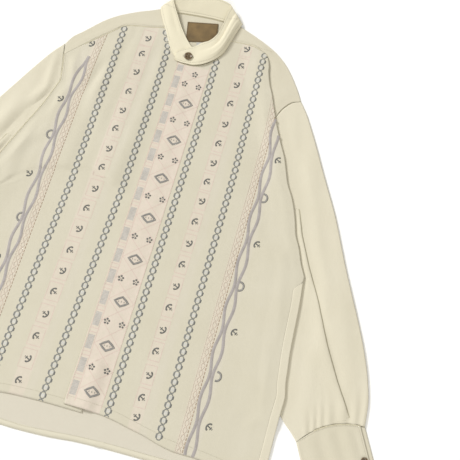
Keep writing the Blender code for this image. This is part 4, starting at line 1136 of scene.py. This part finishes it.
def dashes(line, length=2.0, gap=1.1, width=0.6):
    """stitches of a seam along a line of points"""
    points = np.array(line, dtype=float)
    reach = np.concatenate(([0.0], np.cumsum(np.linalg.norm(np.diff(points, axis=0), axis=1))))
    found = []
    for start in np.arange(0.5, reach[-1] - length, length + gap):
        ends = [[np.interp(at, reach, points[:, axis]) for axis in (0, 1)] for at in (start, start + length)]
        found.append(stroke(ends, width))
    return found


def band_line(share, first, last):
    """line along the collar band at a share of its width"""
    return [(row[0] * (1 - share) + row[3] * share, row[1] * (1 - share) + row[4] * share)
            for row in BAND_SECTIONS[first:last]]


def seam_strokes(node):
    """stitching of one piece"""
    side = -1 if node.endswith("right") else 1
    if node == "collar_band":
        return dashes(band_line(0.10, 0, 24)) + dashes(band_line(0.91, 0, 24))
    if node == "yoke":
        lines = [[(way * x, top_seam(way, way * x) + 3.2) for x in range(56, 175, 6)] for way in (-1, 1)]
        return dashes(lines[0]) + dashes(lines[1])
    if node.startswith("front"):
        hem = [(side * x, float(hem_line(side, side * x)) + HEM_DEPTH - 1.0) for x in range(-12, 330, 8)]
        found = dashes(hem)
        if side > 0:
            found += dashes([(FLY_STITCH + 1.6, -8.0), (FLY_STITCH + 1.6, -590.0)])
            found += dashes([(-12.6, -20.0), (-12.6, -604.0)])
        else:
            found += dashes([(3.4 - away, y + 1.0) for away, y in RIGHT_ARMHOLE])
        return found
    if node == "back":
        above_edge = np.array((0.0, 8.6))
        return dashes([along(BACK_HEM, share) + above_edge for share in np.linspace(0, 1, 60)])
    if node.startswith("cuff"):
        found = []
        for away in (2.4, CUFF_LENGTH - 3.0):
            line = [cuff_point(side, away, share) for share in np.linspace(0.09, 0.97, 12)]
            found += dashes([(side * x, y) for x, y in line])
        line = [cuff_point(side, away, 0.088) for away in (2.4, 20.0, 40.0, CUFF_LENGTH - 3.0)]
        return found + dashes([(side * x, y) for x, y in line])
    return []


def seam_rolls():
    """raised edges of the sewn seams: name, the piece each lies on and its line"""
    cuffs = [(f"cuff_seam_{name}", f"cuff_{name}",
              [tuple(cuff_point(side, 0.35, share) * (side, 1)) for share in np.linspace(0.06, 0.97, 16)])
             for side, name in ((1, "left"), (-1, "right"))]
    return [
        ("armhole_seam_right", "front_right", [(0.35 - away, y) for away, y in RIGHT_ARMHOLE[1:]]),
        ("yoke_seam_right", "front_right", [(x, y - 0.4) for x, y in RIGHT_FRONT_TOP[6:]]),
        ("yoke_seam_left", "front_left", [(x, y - 0.4) for x, y in LEFT_FRONT_TOP[6:]]),
        ("collar_seam", "front_left", band_line(-0.03, 0, 8))] + cuffs


def tape_strokes(size, centre, inset):
    """stitches round a tape"""
    corners = []
    for a, b in ((-1, -1), (1, -1), (1, 1), (-1, 1), (-1, -1)):
        corners.append(on_slant(centre, a * (size[0] / 2 - inset), b * (size[1] / 2 - inset)))
    return dashes(corners, 1.5, 0.9, 0.45)


def button_strokes(centre, width):
    """two bars of thread across a button, from hole to hole"""
    away = 0.2 * width * math.cos(math.pi / 4)
    half = 0.05 * width
    return [stroke([(centre[0] - half, centre[1] + rise), (centre[0], centre[1] + rise),
                    (centre[0] + half, centre[1] + rise)], 0.11 * width) for rise in (-away, away)]


trees = {}


def surface_of(panel):
    """search tree of a panel's shown surface"""
    if panel.name not in trees:
        graph = bpy.context.evaluated_depsgraph_get()
        shown = panel.evaluated_get(graph)
        mesh = shown.to_mesh()
        trees[panel.name] = BVHTree.FromPolygons([vertex.co[:] for vertex in mesh.vertices],
                                                 [face.vertices[:] for face in mesh.polygons])
        shown.to_mesh_clear()
    return trees[panel.name]


def height_at(tree, x, y):
    """height of the cloth under a point in metres, or None beside it"""
    spot = tree.ray_cast(Vector((x, y, 0.1)), Vector((0.0, 0.0, -1.0)))[0]
    return None if spot is None else spot.z


def stitch(name, panel, strokes, finish, proud=0.45, rounded=True):
    """thread laid on a panel, in flattened strokes that follow it, without what runs off it"""
    tree = surface_of(panel)
    line = bpy.data.curves.new(name, "CURVE")
    line.dimensions = "3D"
    line.bevel_depth = MM
    line.bevel_resolution = 0
    line.use_fill_caps = True
    for points, width, closed in strokes:
        laid = place(np.column_stack((points, np.zeros(len(points)))))
        caught = [height_at(tree, *spot[:2]) is not None for spot in laid]
        if closed and not all(caught):
            laid, caught, closed = np.vstack((laid, laid[:1])), caught + caught[:1], False
        run = []
        for spot, hit in list(zip(laid, caught)) + [(None, False)]:
            if hit:
                run.append(spot)
                continue
            if len(run) > 1:
                spline = line.splines.new("POLY")
                spline.points.add(len(run) - 1)
                spline.points.foreach_set("co", np.column_stack((run, np.ones(len(run)))).ravel())
                spline.points.foreach_set("radius", np.full(len(run), width / 2))
                spline.use_cyclic_u = closed
            run = []
    pattern = bpy.data.objects.new(name, line)
    bpy.context.scene.collection.objects.link(pattern)
    bpy.context.view_layer.update()
    graph = bpy.context.evaluated_depsgraph_get()
    mesh = bpy.data.meshes.new_from_object(pattern.evaluated_get(graph))
    bpy.data.objects.remove(pattern, do_unlink=True)
    mesh.name = name
    spots = np.empty(len(mesh.vertices) * 3)
    mesh.vertices.foreach_get("co", spots)
    spots = spots.reshape(-1, 3)
    heights = [height_at(tree, spot[0], spot[1]) for spot in spots]
    last = next(height for height in heights if height is not None)
    for spot, height in zip(spots, heights):
        last = height if height is not None else last
        rise = min(max(spot[2] / (0.9 * MM), -1.0), 1.0)
        spot[2] = last + proud * MM * (0.5 * rise + 0.32)
    mesh.vertices.foreach_set("co", spots.ravel())
    mesh.update()
    if rounded:
        mesh.shade_smooth()
    else:
        mesh.shade_flat()
    mesh.materials.clear()
    return finish_piece(name, mesh, finish)


def shade(red, green, blue):
    """linear colour from its value on a screen, 0 to 255"""
    return tuple(((value / 255 + 0.055) / 1.055) ** 2.4 for value in (red, green, blue))


class Finish:
    """material under way: its nodes, and short ways to add and join them"""

    def __init__(self, name, colour, roughness):
        self.material = bpy.data.materials.new(name)
        self.material.use_nodes = True
        self.tree = self.material.node_tree
        self.shader = self.tree.nodes["Principled BSDF"]
        self.shader.inputs["Base Color"].default_value = (*colour, 1.0)
        self.shader.inputs["Roughness"].default_value = roughness
        self.spot = self.tree.nodes.new("ShaderNodeTexCoord").outputs["Object"]
        self.height = None

    def node(self, kind, **values):
        item = self.tree.nodes.new("ShaderNode" + kind)
        for name, value in values.items():
            setattr(item, name, value)
        return item

    def join(self, source, item, socket):
        self.tree.links.new(source, item.inputs[socket])
        return item

    def number(self, operation, a, b=0.0, c=0.0):
        item = self.node("Math", operation=operation)
        for index, value in enumerate((a, b, c)):
            if isinstance(value, (int, float)):
                item.inputs[index].default_value = value
            else:
                self.tree.links.new(value, item.inputs[index])
        return item.outputs[0]

    def noise(self, size, detail=2.0, source=None, rough=0.5):
        """noise with features of about size millimetres"""
        item = self.node("TexNoise")
        self.join(source or self.spot, item, "Vector")
        item.inputs["Scale"].default_value = 1.0 / (size * MM)
        item.inputs["Detail"].default_value = detail
        item.inputs["Roughness"].default_value = rough
        return item.outputs["Fac"]

    def waves(self, pitch, source, direction="X", bend=0.0):
        """even ridges at a pitch in the units of the source"""
        item = self.node("TexWave", bands_direction=direction)
        self.join(source, item, "Vector")
        item.inputs["Scale"].default_value = math.pi / 10 / pitch
        item.inputs["Distortion"].default_value = bend
        item.inputs["Detail"].default_value = 1.0
        item.inputs["Detail Scale"].default_value = 0.6
        return item.outputs["Fac"]

    def blend(self, share, a, b):
        """colour between a and b by a share"""
        item = self.node("Mix", data_type="RGBA")
        self.tree.links.new(share, item.inputs["Factor"])
        for socket, value in ((6, a), (7, b)):
            if isinstance(value, tuple):
                item.inputs[socket].default_value = (*value, 1.0)
            else:
                self.tree.links.new(value, item.inputs[socket])
        return item.outputs[2]

    def raise_by(self, source, depth):
        """adds a height of depth millimetres to the bump"""
        scaled = self.number("MULTIPLY", source, depth)
        self.height = scaled if self.height is None else self.number("ADD", self.height, scaled)

    def close(self, strength=1.0):
        """joins the gathered height to the shader"""
        if self.height is not None:
            bump = self.node("Bump")
            bump.inputs["Distance"].default_value = MM
            bump.inputs["Strength"].default_value = strength
            self.join(self.height, bump, "Height")
            self.join(bump.outputs["Normal"], self.shader, "Normal")
        return self.material


def woven(name, colour, banded=0, hem=0.0, paint_crease_shade=False):
    """cream plain-weave cloth with soft creases, slubs and a slight sheen, the bands' pale grounds and, if
    asked, painted shade along a pressed crease
    """
    cloth_finish = Finish(name, colour, 0.82)
    grid = cloth_finish.node("UVMap", uv_map="weave").outputs[0]
    warp = cloth_finish.waves(0.0052, grid, "X", 0.6)
    weft = cloth_finish.waves(0.0052, grid, "Y", 0.6)
    cloth_finish.raise_by(warp, 0.035)
    cloth_finish.raise_by(weft, 0.035)
    stretch = cloth_finish.node("Mapping")
    stretch.inputs["Scale"].default_value = (14.0, 1.4, 1.0)
    cloth_finish.join(grid, stretch, "Vector")
    slub = cloth_finish.node("TexNoise")
    cloth_finish.join(stretch.outputs[0], slub, "Vector")
    slub.inputs["Scale"].default_value = 6.0
    slub.inputs["Detail"].default_value = 3.0
    cloth_finish.raise_by(slub.outputs["Fac"], 0.08)
    cloth_finish.raise_by(cloth_finish.noise(16.0, 3.0), 0.55)
    cloth_finish.raise_by(cloth_finish.noise(5.0, 2.0), 0.10)
    uneven = cloth_finish.noise(70.0, 3.0)
    paler = tuple(min(value * 1.05, 1.0) for value in colour)
    deeper = (colour[0] * 0.965, colour[1] * 0.955, colour[2] * 0.91)
    tone = cloth_finish.blend(uneven, paler, deeper)
    threads = cloth_finish.number("MULTIPLY", cloth_finish.number("ADD", warp, weft), 0.5)
    tone = cloth_finish.blend(cloth_finish.number("MULTIPLY", threads, 0.16), tone,
                              (colour[0] * 0.80, colour[1] * 0.78, colour[2] * 0.70))
    if banded:
        tone = printed_ground(cloth_finish, grid, tone, banded)
    if hem:
        tone = wrong_side(cloth_finish, grid, tone, colour, hem)
    if paint_crease_shade:
        tone = painted_crease_shade(cloth_finish, tone, colour)
    cloth_finish.tree.links.new(tone, cloth_finish.shader.inputs["Base Color"])
    cloth_finish.shader.inputs["Sheen Weight"].default_value = 0.12
    cloth_finish.shader.inputs["Sheen Roughness"].default_value = 0.5
    cloth_finish.shader.inputs["Specular IOR Level"].default_value = 0.35
    return cloth_finish.close(0.9)


def step(finish, value, low, high, ends=(0.0, 1.0)):
    """smooth step of a value from low to high"""
    item = finish.node("MapRange", interpolation_type="SMOOTHSTEP")
    finish.join(value, item, "Value")
    for socket, number in (("From Min", low), ("From Max", high), ("To Min", ends[0]), ("To Max", ends[1])):
        item.inputs[socket].default_value = number
    return item.outputs[0]


def painted_crease_shade(finish, tone, colour):
    """painted shade: a darker line along a pressed fold, where the fold closes on the cloth beside it"""
    border = finish.node("SeparateXYZ")
    finish.join(finish.node("UVMap", uv_map="border").outputs[0], border, "Vector")
    # painted shade: towards deep olive within about a millimetre of the pleat's line
    near = step(finish, finish.number("ABSOLUTE", border.outputs["X"]), 0.35, 1.1, (0.72, 0.0))
    return finish.blend(near, tone, (colour[0] * 0.42, colour[1] * 0.40, colour[2] * 0.27))


def wrong_side(finish, grid, tone, colour, hem):
    """greyer wrong side of the back below the fronts, with the paler turned hem along its edge"""
    apart = finish.node("SeparateXYZ")
    finish.join(grid, apart, "Vector")
    border = finish.node("SeparateXYZ")
    finish.join(finish.node("UVMap", uv_map="border").outputs[0], border, "Vector")
    low = step(finish, apart.outputs["Y"], -5.98, -5.90, (1.0, 0.0))
    inner = step(finish, finish.number("ABSOLUTE", apart.outputs["X"]), 2.45, 2.55, (1.0, 0.0))
    shown = finish.number("MULTIPLY", low, inner)
    grey = (colour[0] * 0.93, colour[1] * 0.925, colour[2] * 0.95)
    edge = hem * UV_PER_MM
    turned = step(finish, border.outputs["Y"], edge - 0.006, edge + 0.004, (1.0, 0.0))
    finish.raise_by(finish.number("MULTIPLY", turned, shown), 0.5)
    tone = finish.blend(finish.number("MULTIPLY", shown, 0.95), tone, grey)
    paler = (colour[0], colour[1], colour[2] * 0.98)
    return finish.blend(finish.number("MULTIPLY", turned, shown), tone, paler)


def printed_ground(finish, grid, tone, side):
    """pale pink and grey grounds of the bands on one front, in lines across the cloth"""
    apart = finish.node("SeparateXYZ")
    finish.join(grid, apart, "Vector")
    x = finish.number("MULTIPLY", apart.outputs["X"], 1.0 / UV_PER_MM)
    y = finish.number("MULTIPLY", apart.outputs["Y"], 1.0 / UV_PER_MM)
    fine = finish.waves(0.016, grid, "Y", 0.4)
    worn = finish.noise(6.0, 2.0)
    below_neck = step(finish, y, -16.0, -12.0, (1.0, 0.0))
    for middle, slope, half, soft, weight, colour in GROUNDS[side]:
        line = finish.number("MULTIPLY_ADD", y, slope, middle)
        away = finish.number("ABSOLUTE", finish.number("SUBTRACT", x, line))
        share = step(finish, away, half - soft, half + soft, (1.0, 0.0))
        if slope == 0.0:
            share = finish.number("MULTIPLY", share, below_neck)
        lined = finish.number("MULTIPLY_ADD", fine, 0.45, 0.55)
        rubbed = finish.number("MULTIPLY_ADD", worn, 1.3, 0.3)
        share = finish.number("MULTIPLY", finish.number("MULTIPLY", share, weight),
                              finish.number("MULTIPLY", lined, rubbed))
        tone = finish.blend(share, tone, colour)
    return tone


def thread(name, colour, darker=0.72, pitch=0.75, gloss=0.55):
    """twisted thread in close stitches, worn paler here and there"""
    made = Finish(name, colour, gloss)
    turned = made.node("Mapping")
    turned.inputs["Rotation"].default_value = (0.0, 0.0, math.radians(34.0))
    made.join(made.spot, turned, "Vector")
    ridges = made.waves(pitch * MM, turned.outputs[0], "X", 1.2)
    made.raise_by(ridges, 0.14)
    made.raise_by(made.noise(0.9, 2.0), 0.08)
    worn = made.noise(9.0, 3.0)
    tone = made.blend(worn, tuple(value * darker for value in colour),
                      tuple(min(value * 1.22 + 0.02, 1.0) for value in colour))
    tone = made.blend(made.number("MULTIPLY", ridges, 0.35), tone, tuple(value * 0.55 for value in colour))
    made.tree.links.new(tone, made.shader.inputs["Base Color"])
    made.shader.inputs["Sheen Weight"].default_value = 0.15
    return made.close(0.8)


def horn_finish():
    """polished brown horn, with clouds and fine grain"""
    made = Finish("horn_button", BUTTON_BROWN, 0.32)
    clouds = made.noise(3.2, 4.0)
    grain = made.noise(0.5, 2.0)
    tone = made.blend(clouds, shade(44, 36, 26), shade(122, 98, 66))
    tone = made.blend(made.number("MULTIPLY", grain, 0.3), tone, shade(150, 126, 92))
    made.tree.links.new(tone, made.shader.inputs["Base Color"])
    made.raise_by(grain, 0.03)
    made.shader.inputs["Coat Weight"].default_value = 0.25
    made.shader.inputs["Coat Roughness"].default_value = 0.2
    return made.close(0.6)


def tape_finish(name, ground, border, size, edge):
    """woven tape with a plain border, bare inside"""
    made = Finish(name, ground, 0.72)
    grid = made.node("UVMap", uv_map="weave").outputs[0]
    apart = made.node("SeparateXYZ")
    made.join(grid, apart, "Vector")
    ways = []
    for axis, length in (("X", size[0]), ("Y", size[1])):
        half = length / 2 * UV_PER_MM
        middle = made.number("SUBTRACT", apart.outputs[axis], half)
        away = made.number("SUBTRACT", half, made.number("ABSOLUTE", middle))
        ways.append(made.number("MULTIPLY", away, 1.0 / UV_PER_MM))
    rim = step(made, made.number("MINIMUM", ways[0], ways[1]), edge - 0.3, edge + 0.3, (1.0, 0.0))
    rows = made.waves(0.0042, grid, "Y", 0.4)
    threads = made.waves(0.0050, grid, "X", 0.4)
    tone = made.blend(made.noise(16.0, 3.0), tuple(value * 0.36 for value in ground),
                      tuple(min(value * 1.9, 1.0) for value in ground))
    tone = made.blend(rim, tone, border)
    tone = made.blend(made.number("MULTIPLY", rows, 0.3), tone, tuple(value * 0.5 for value in ground))
    made.tree.links.new(tone, made.shader.inputs["Base Color"])
    made.raise_by(rows, 0.06)
    made.raise_by(threads, 0.04)
    made.shader.inputs["Sheen Weight"].default_value = 0.2
    return made.close(0.8)


def floor_finish():
    """plain pale board, faintly uneven"""
    made = Finish("pale_floor", (0.93, 0.93, 0.93), 0.9)
    tone = made.blend(made.noise(300.0, 2.0), (0.96, 0.96, 0.96), (0.97, 0.97, 0.97))
    made.tree.links.new(tone, made.shader.inputs["Base Color"])
    return made.close()


# CLOTH_CREAM is the cream of the shirt's one cloth, on the back and sleeves; other pieces take darker or
# paler copies of it, painted shade and painted light.
CLOTH_CREAM = (0.69, 0.648, 0.532)
# fronts: a darker copy of the cloth's cream, painted shade
FRONT_CREAM_SHADED = (0.632, 0.596, 0.492)
PINK_GROUND = shade(232, 213, 205)
ROPE_GROUND = shade(214, 207, 196)
GROUNDS = {  # by side: middle x at y 0, slope, half width and soft edge of a band, its strength and colour
    1: ((19.8, 0.0, 20.5, 1.0, 0.52, PINK_GROUND), (-7.4, 0.0, 6.4, 1.0, 0.42, PINK_GROUND),
        (92.2, -0.006, 9.0, 1.6, 0.32, PINK_GROUND), (167.0, -0.006, 7.0, 2.0, 0.3, PINK_GROUND),
        (183.0, -0.01, 9.0, 3.0, 0.34, ROPE_GROUND), (108.0, -0.006, 7.0, 5.0, 0.3, ROPE_GROUND)),
    -1: ((-76.0, 0.022, 11.5, 1.6, 0.32, PINK_GROUND), (-156.0, 0.008, 7.0, 2.0, 0.3, PINK_GROUND),
         (-172.0, 0.01, 9.0, 3.0, 0.34, ROPE_GROUND), (-56.0, 0.024, 6.0, 5.0, 0.25, ROPE_GROUND))}
# yoke and cuffs: a darker copy of the cloth's cream, painted shade
cream = woven("cream_cloth", (0.65, 0.61, 0.497))
printed_left = woven("embroidered_left", FRONT_CREAM_SHADED, banded=1)
printed_right = woven("embroidered_right", FRONT_CREAM_SHADED, banded=-1)
back_cream = woven("back_cloth", CLOTH_CREAM, hem=9.0)
# sleeves: the cloth's cream, with painted shade along the pressed pleat
sleeve_cream = woven("sleeve_cloth", CLOTH_CREAM, paint_crease_shade=True)
# collar band: a paler copy of the cloth's cream, painted light
band_cream_lit = woven("band_cloth", (0.77, 0.719, 0.567))
horn = horn_finish()
tape = tape_finish("label_tape", shade(116, 94, 56), shade(104, 82, 44), LABEL_SIZE, 2.4)
white_tape = tape_finish("tab_tape", shade(222, 218, 208), shade(205, 200, 190), TAB_SIZE, 0.9)
chain_thread = thread("chain_thread", shade(128, 129, 124))
filling_thread = thread("filling_thread", shade(204, 202, 194), darker=0.92)
dark_thread = thread("dark_thread", shade(104, 105, 101))
pale_thread = thread("pale_thread", shade(134, 135, 130))
motif_thread = thread("motif_thread", shade(112, 112, 108))
half_thread = thread("half_round_thread", shade(154, 151, 146))
block_thread = thread("block_thread", shade(198, 193, 186))
rope_thread = thread("rope_thread", shade(170, 163, 160), pitch=1.3)
braid_thread = thread("braid_thread", shade(224, 208, 190), darker=0.85)
edge_thread = thread("braid_edge_thread", shade(190, 168, 144), darker=0.85)
pink_thread = thread("pink_thread", shade(216, 190, 180), darker=0.85)
seam_thread = thread("seam_thread", shade(214, 207, 182), pitch=0.5, gloss=0.7)
neck_thread = thread("neck_thread", shade(228, 220, 190), darker=0.9, pitch=0.5, gloss=0.8)
tape_thread = thread("tape_thread", shade(140, 120, 84), pitch=0.5, gloss=0.7)
button_thread = thread("button_thread", shade(120, 100, 74), pitch=0.5, gloss=0.7)

# Height of the underside of a button.
ON_BAND = 5.75 + BAND_WALL / 2 + SEAM_GAP
ON_CUFF = OVER_SLEEVE + 0.1 + WALL / 2 + SEAM_GAP
SIDES = ((1, "left"), (-1, "right"))
pieces = {
    "back": make_back("back_cloth"),
    "yoke": make_yoke("yoke_cloth"),
    "front_right": make_front("front_right_cloth", -1),
    "front_left": make_front("front_left_cloth", 1),
    "sleeve_left": make_sleeve("sleeve_left_cloth", 1),
    "sleeve_right": make_sleeve("sleeve_right_cloth", -1),
    "cuff_left": make_cuff("cuff_left_cloth", 1),
    "cuff_right": make_cuff("cuff_right_cloth", -1),
    "collar_band": make_band("collar_band_cloth"),
    "collar_button": make_button("collar_button_horn", BUTTON_WIDTH, (0.0, 0.0), ON_BAND)}
for side, word in SIDES:
    button = make_button(f"cuff_button_{word}_horn", CUFF_BUTTON_WIDTH, cuff_button_place(side), ON_CUFF)
    pieces[f"cuff_button_{word}"] = button
label_height = ON_FLOOR + WALL / 2 + SEAM_GAP + LABEL_WALL / 2
pieces["neck_label"] = make_tag("neck_label_tape", LABEL_SIZE, LABEL_CENTRE, label_height, tape, (80, 60))
drop = LABEL_SIZE[1] / 2 + SEAM_GAP + TAB_SIZE[1] / 2
tab_centre = on_slant(LABEL_CENTRE, TAB_ASIDE, -drop)
pieces["size_tab"] = make_tag("size_tab_tape", TAB_SIZE, tab_centre, label_height, white_tape, (30, 24))
SLOTS = {"neck_label": "label_cloth", "size_tab": "tab_cloth"}
for node, piece in pieces.items():
    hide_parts(node)
    SLOTS.get(node, "brown_button" if "button" in node else "cream_cloth")

chain_links, chain_dark, chain_pale, chain_filling = chain_strokes()
rosettes, lozenges = centre_strokes()
embroidery = (  # name, strokes, thread, how proud it stands, whether its strokes are rounded
    ("chain_filling", chain_filling, filling_thread, 0.12, False),
    ("chain", chain_links, chain_thread, 0.22, False),
    ("chain_dark", chain_dark, dark_thread, 0.26, False),
    ("chain_pale", chain_pale, pale_thread, 0.26, False),
    ("anchor", anchors(), motif_thread, 0.5, True),
    ("rosette", rosettes, motif_thread, 0.5, True),
    ("half_round", lozenges + half_ring_strokes(), half_thread, 0.5, True),
    ("bar_block", block_strokes(), block_thread, 0.4, False),
    ("rope", rope_strokes(), rope_thread, 0.55, False),
    ("braid", braid_strokes(), braid_thread, 0.35, True),
    ("braid_edge", braid_edge_strokes(), edge_thread, 0.4, True),
    ("pink_line", pink_strokes(), pink_thread, 0.25, False))
for title, strokes, made_of, proud, rounded in embroidery:
    for side, word in SIDES:
        mine = [item for item in strokes if (item[0][:, 0].mean() > FRONT_SPLIT) == (side > 0)]
        if mine:
            stitch(f"{title}_{word}", pieces[f"front_{word}"], mine, made_of, proud, rounded)

for node in ("collar_band", "yoke", "front_left", "front_right", "back", "cuff_left", "cuff_right"):
    stitch(f"{node}_stitching", pieces[node], seam_strokes(node), seam_thread, 0.2)
stitch("neck_seam", pieces["yoke"], [stroke(band_line(-0.012, 12, 18), 1.9)], neck_thread, 1.3)
for title, node, line in seam_rolls():
    stitch(title, pieces[node], [stroke(line, 1.5)], neck_thread, 0.45)
round_label = tape_strokes(LABEL_SIZE, LABEL_CENTRE, 1.3)
stitch("neck_label_stitching", pieces["neck_label"], round_label, tape_thread, 0.2)
stitch("size_tab_stitching", pieces["size_tab"], tape_strokes(TAB_SIZE, tab_centre, 1.0), seam_thread, 0.15)
through_holes = button_strokes((0.0, 0.0), BUTTON_WIDTH)
stitch("collar_button_thread", pieces["collar_button"], through_holes, button_thread, 0.7)
slit = [stroke([(-9.4, rise - 0.6), (0.0, rise), (9.4, rise + 1.0)], 1.0) for rise in (-0.9, 0.9)]
stitch("buttonhole_thread", pieces["collar_band"], slit, seam_thread, 0.3)
for side, word in SIDES:
    through_holes = button_strokes(cuff_button_place(side), CUFF_BUTTON_WIDTH)
    stitch(f"cuff_button_{word}_thread", pieces[f"cuff_button_{word}"], through_holes, button_thread, 0.6)

bpy.ops.mesh.primitive_plane_add(size=8.0, location=(0, 0, 0))
floor = bpy.context.object
floor.name = "floor"
floor.data.materials.append(floor_finish())

CUTS = {  # width and length of the cut in metres, all round on a tube
    "back": (0.64, 0.64), "yoke": (0.42, 0.24), "front_right": (0.31, 0.69), "front_left": (0.32, 0.735),
    "sleeve_left": (0.36, 0.56), "sleeve_right": (0.36, 0.56), "cuff_left": (0.236, 0.072),
    "cuff_right": (0.236, 0.072), "collar_band": (0.445, 0.042), "neck_label": (0.0535, 0.0385),
    "size_tab": (0.0122, 0.0102)}
for node, cut in CUTS.items():
    piece = pieces[node]

CAMERA_PLACE = (0.284, -0.4758, 1.418)      # metres, fitted to the photograph
CAMERA_TURN = math.radians(15.5)
CAMERA_TILT = math.radians(19.0)            # away from looking straight down
CAMERA_LENS = 73.68
camera = bpy.data.objects.new("camera", bpy.data.cameras.new("camera"))
bpy.context.scene.collection.objects.link(camera)
overhead = Vector((0.0, 0.0, 1.0))
right = Vector((math.cos(CAMERA_TURN), math.sin(CAMERA_TURN), 0.0))
level = Vector((-math.sin(CAMERA_TURN), math.cos(CAMERA_TURN), 0.0))
ahead = level * math.sin(CAMERA_TILT) - overhead * math.cos(CAMERA_TILT)
up = level * math.cos(CAMERA_TILT) + overhead * math.sin(CAMERA_TILT)
stance = Matrix((right, up, -ahead)).transposed().to_4x4()
stance.translation = Vector(CAMERA_PLACE)
camera.matrix_world = stance
camera.data.lens = CAMERA_LENS
camera.data.sensor_width = 36.0
camera.data.sensor_fit = "HORIZONTAL"
bpy.context.scene.camera = camera

world = bpy.data.worlds.new("studio")
world.use_nodes = True
daylight = world.node_tree.nodes["Background"]
daylight.inputs["Color"].default_value = (1.0, 0.975, 0.90, 1.0)
daylight.inputs["Strength"].default_value = 0.54
bpy.context.scene.world = world
LAMPS = (  # name, place and size in metres, power in watts
    ("window", (-6.0, 3.2, 5.0), 2.0, 540.0), ("fill", (0.8, -3.4, 2.8), 2.4, 60.0))
for name, spot, size, power in LAMPS:
    lamp = bpy.data.objects.new(name, bpy.data.lights.new(name, "AREA"))
    lamp.data.shape = "SQUARE"
    lamp.data.size = size
    lamp.data.energy = power
    lamp.location = spot
    lamp.rotation_euler = (Vector((0.0, 0.0, 0.0)) - Vector(spot)).to_track_quat("-Z", "Y").to_euler()
    bpy.context.scene.collection.objects.link(lamp)
bpy.context.scene.view_settings.view_transform = "Standard"
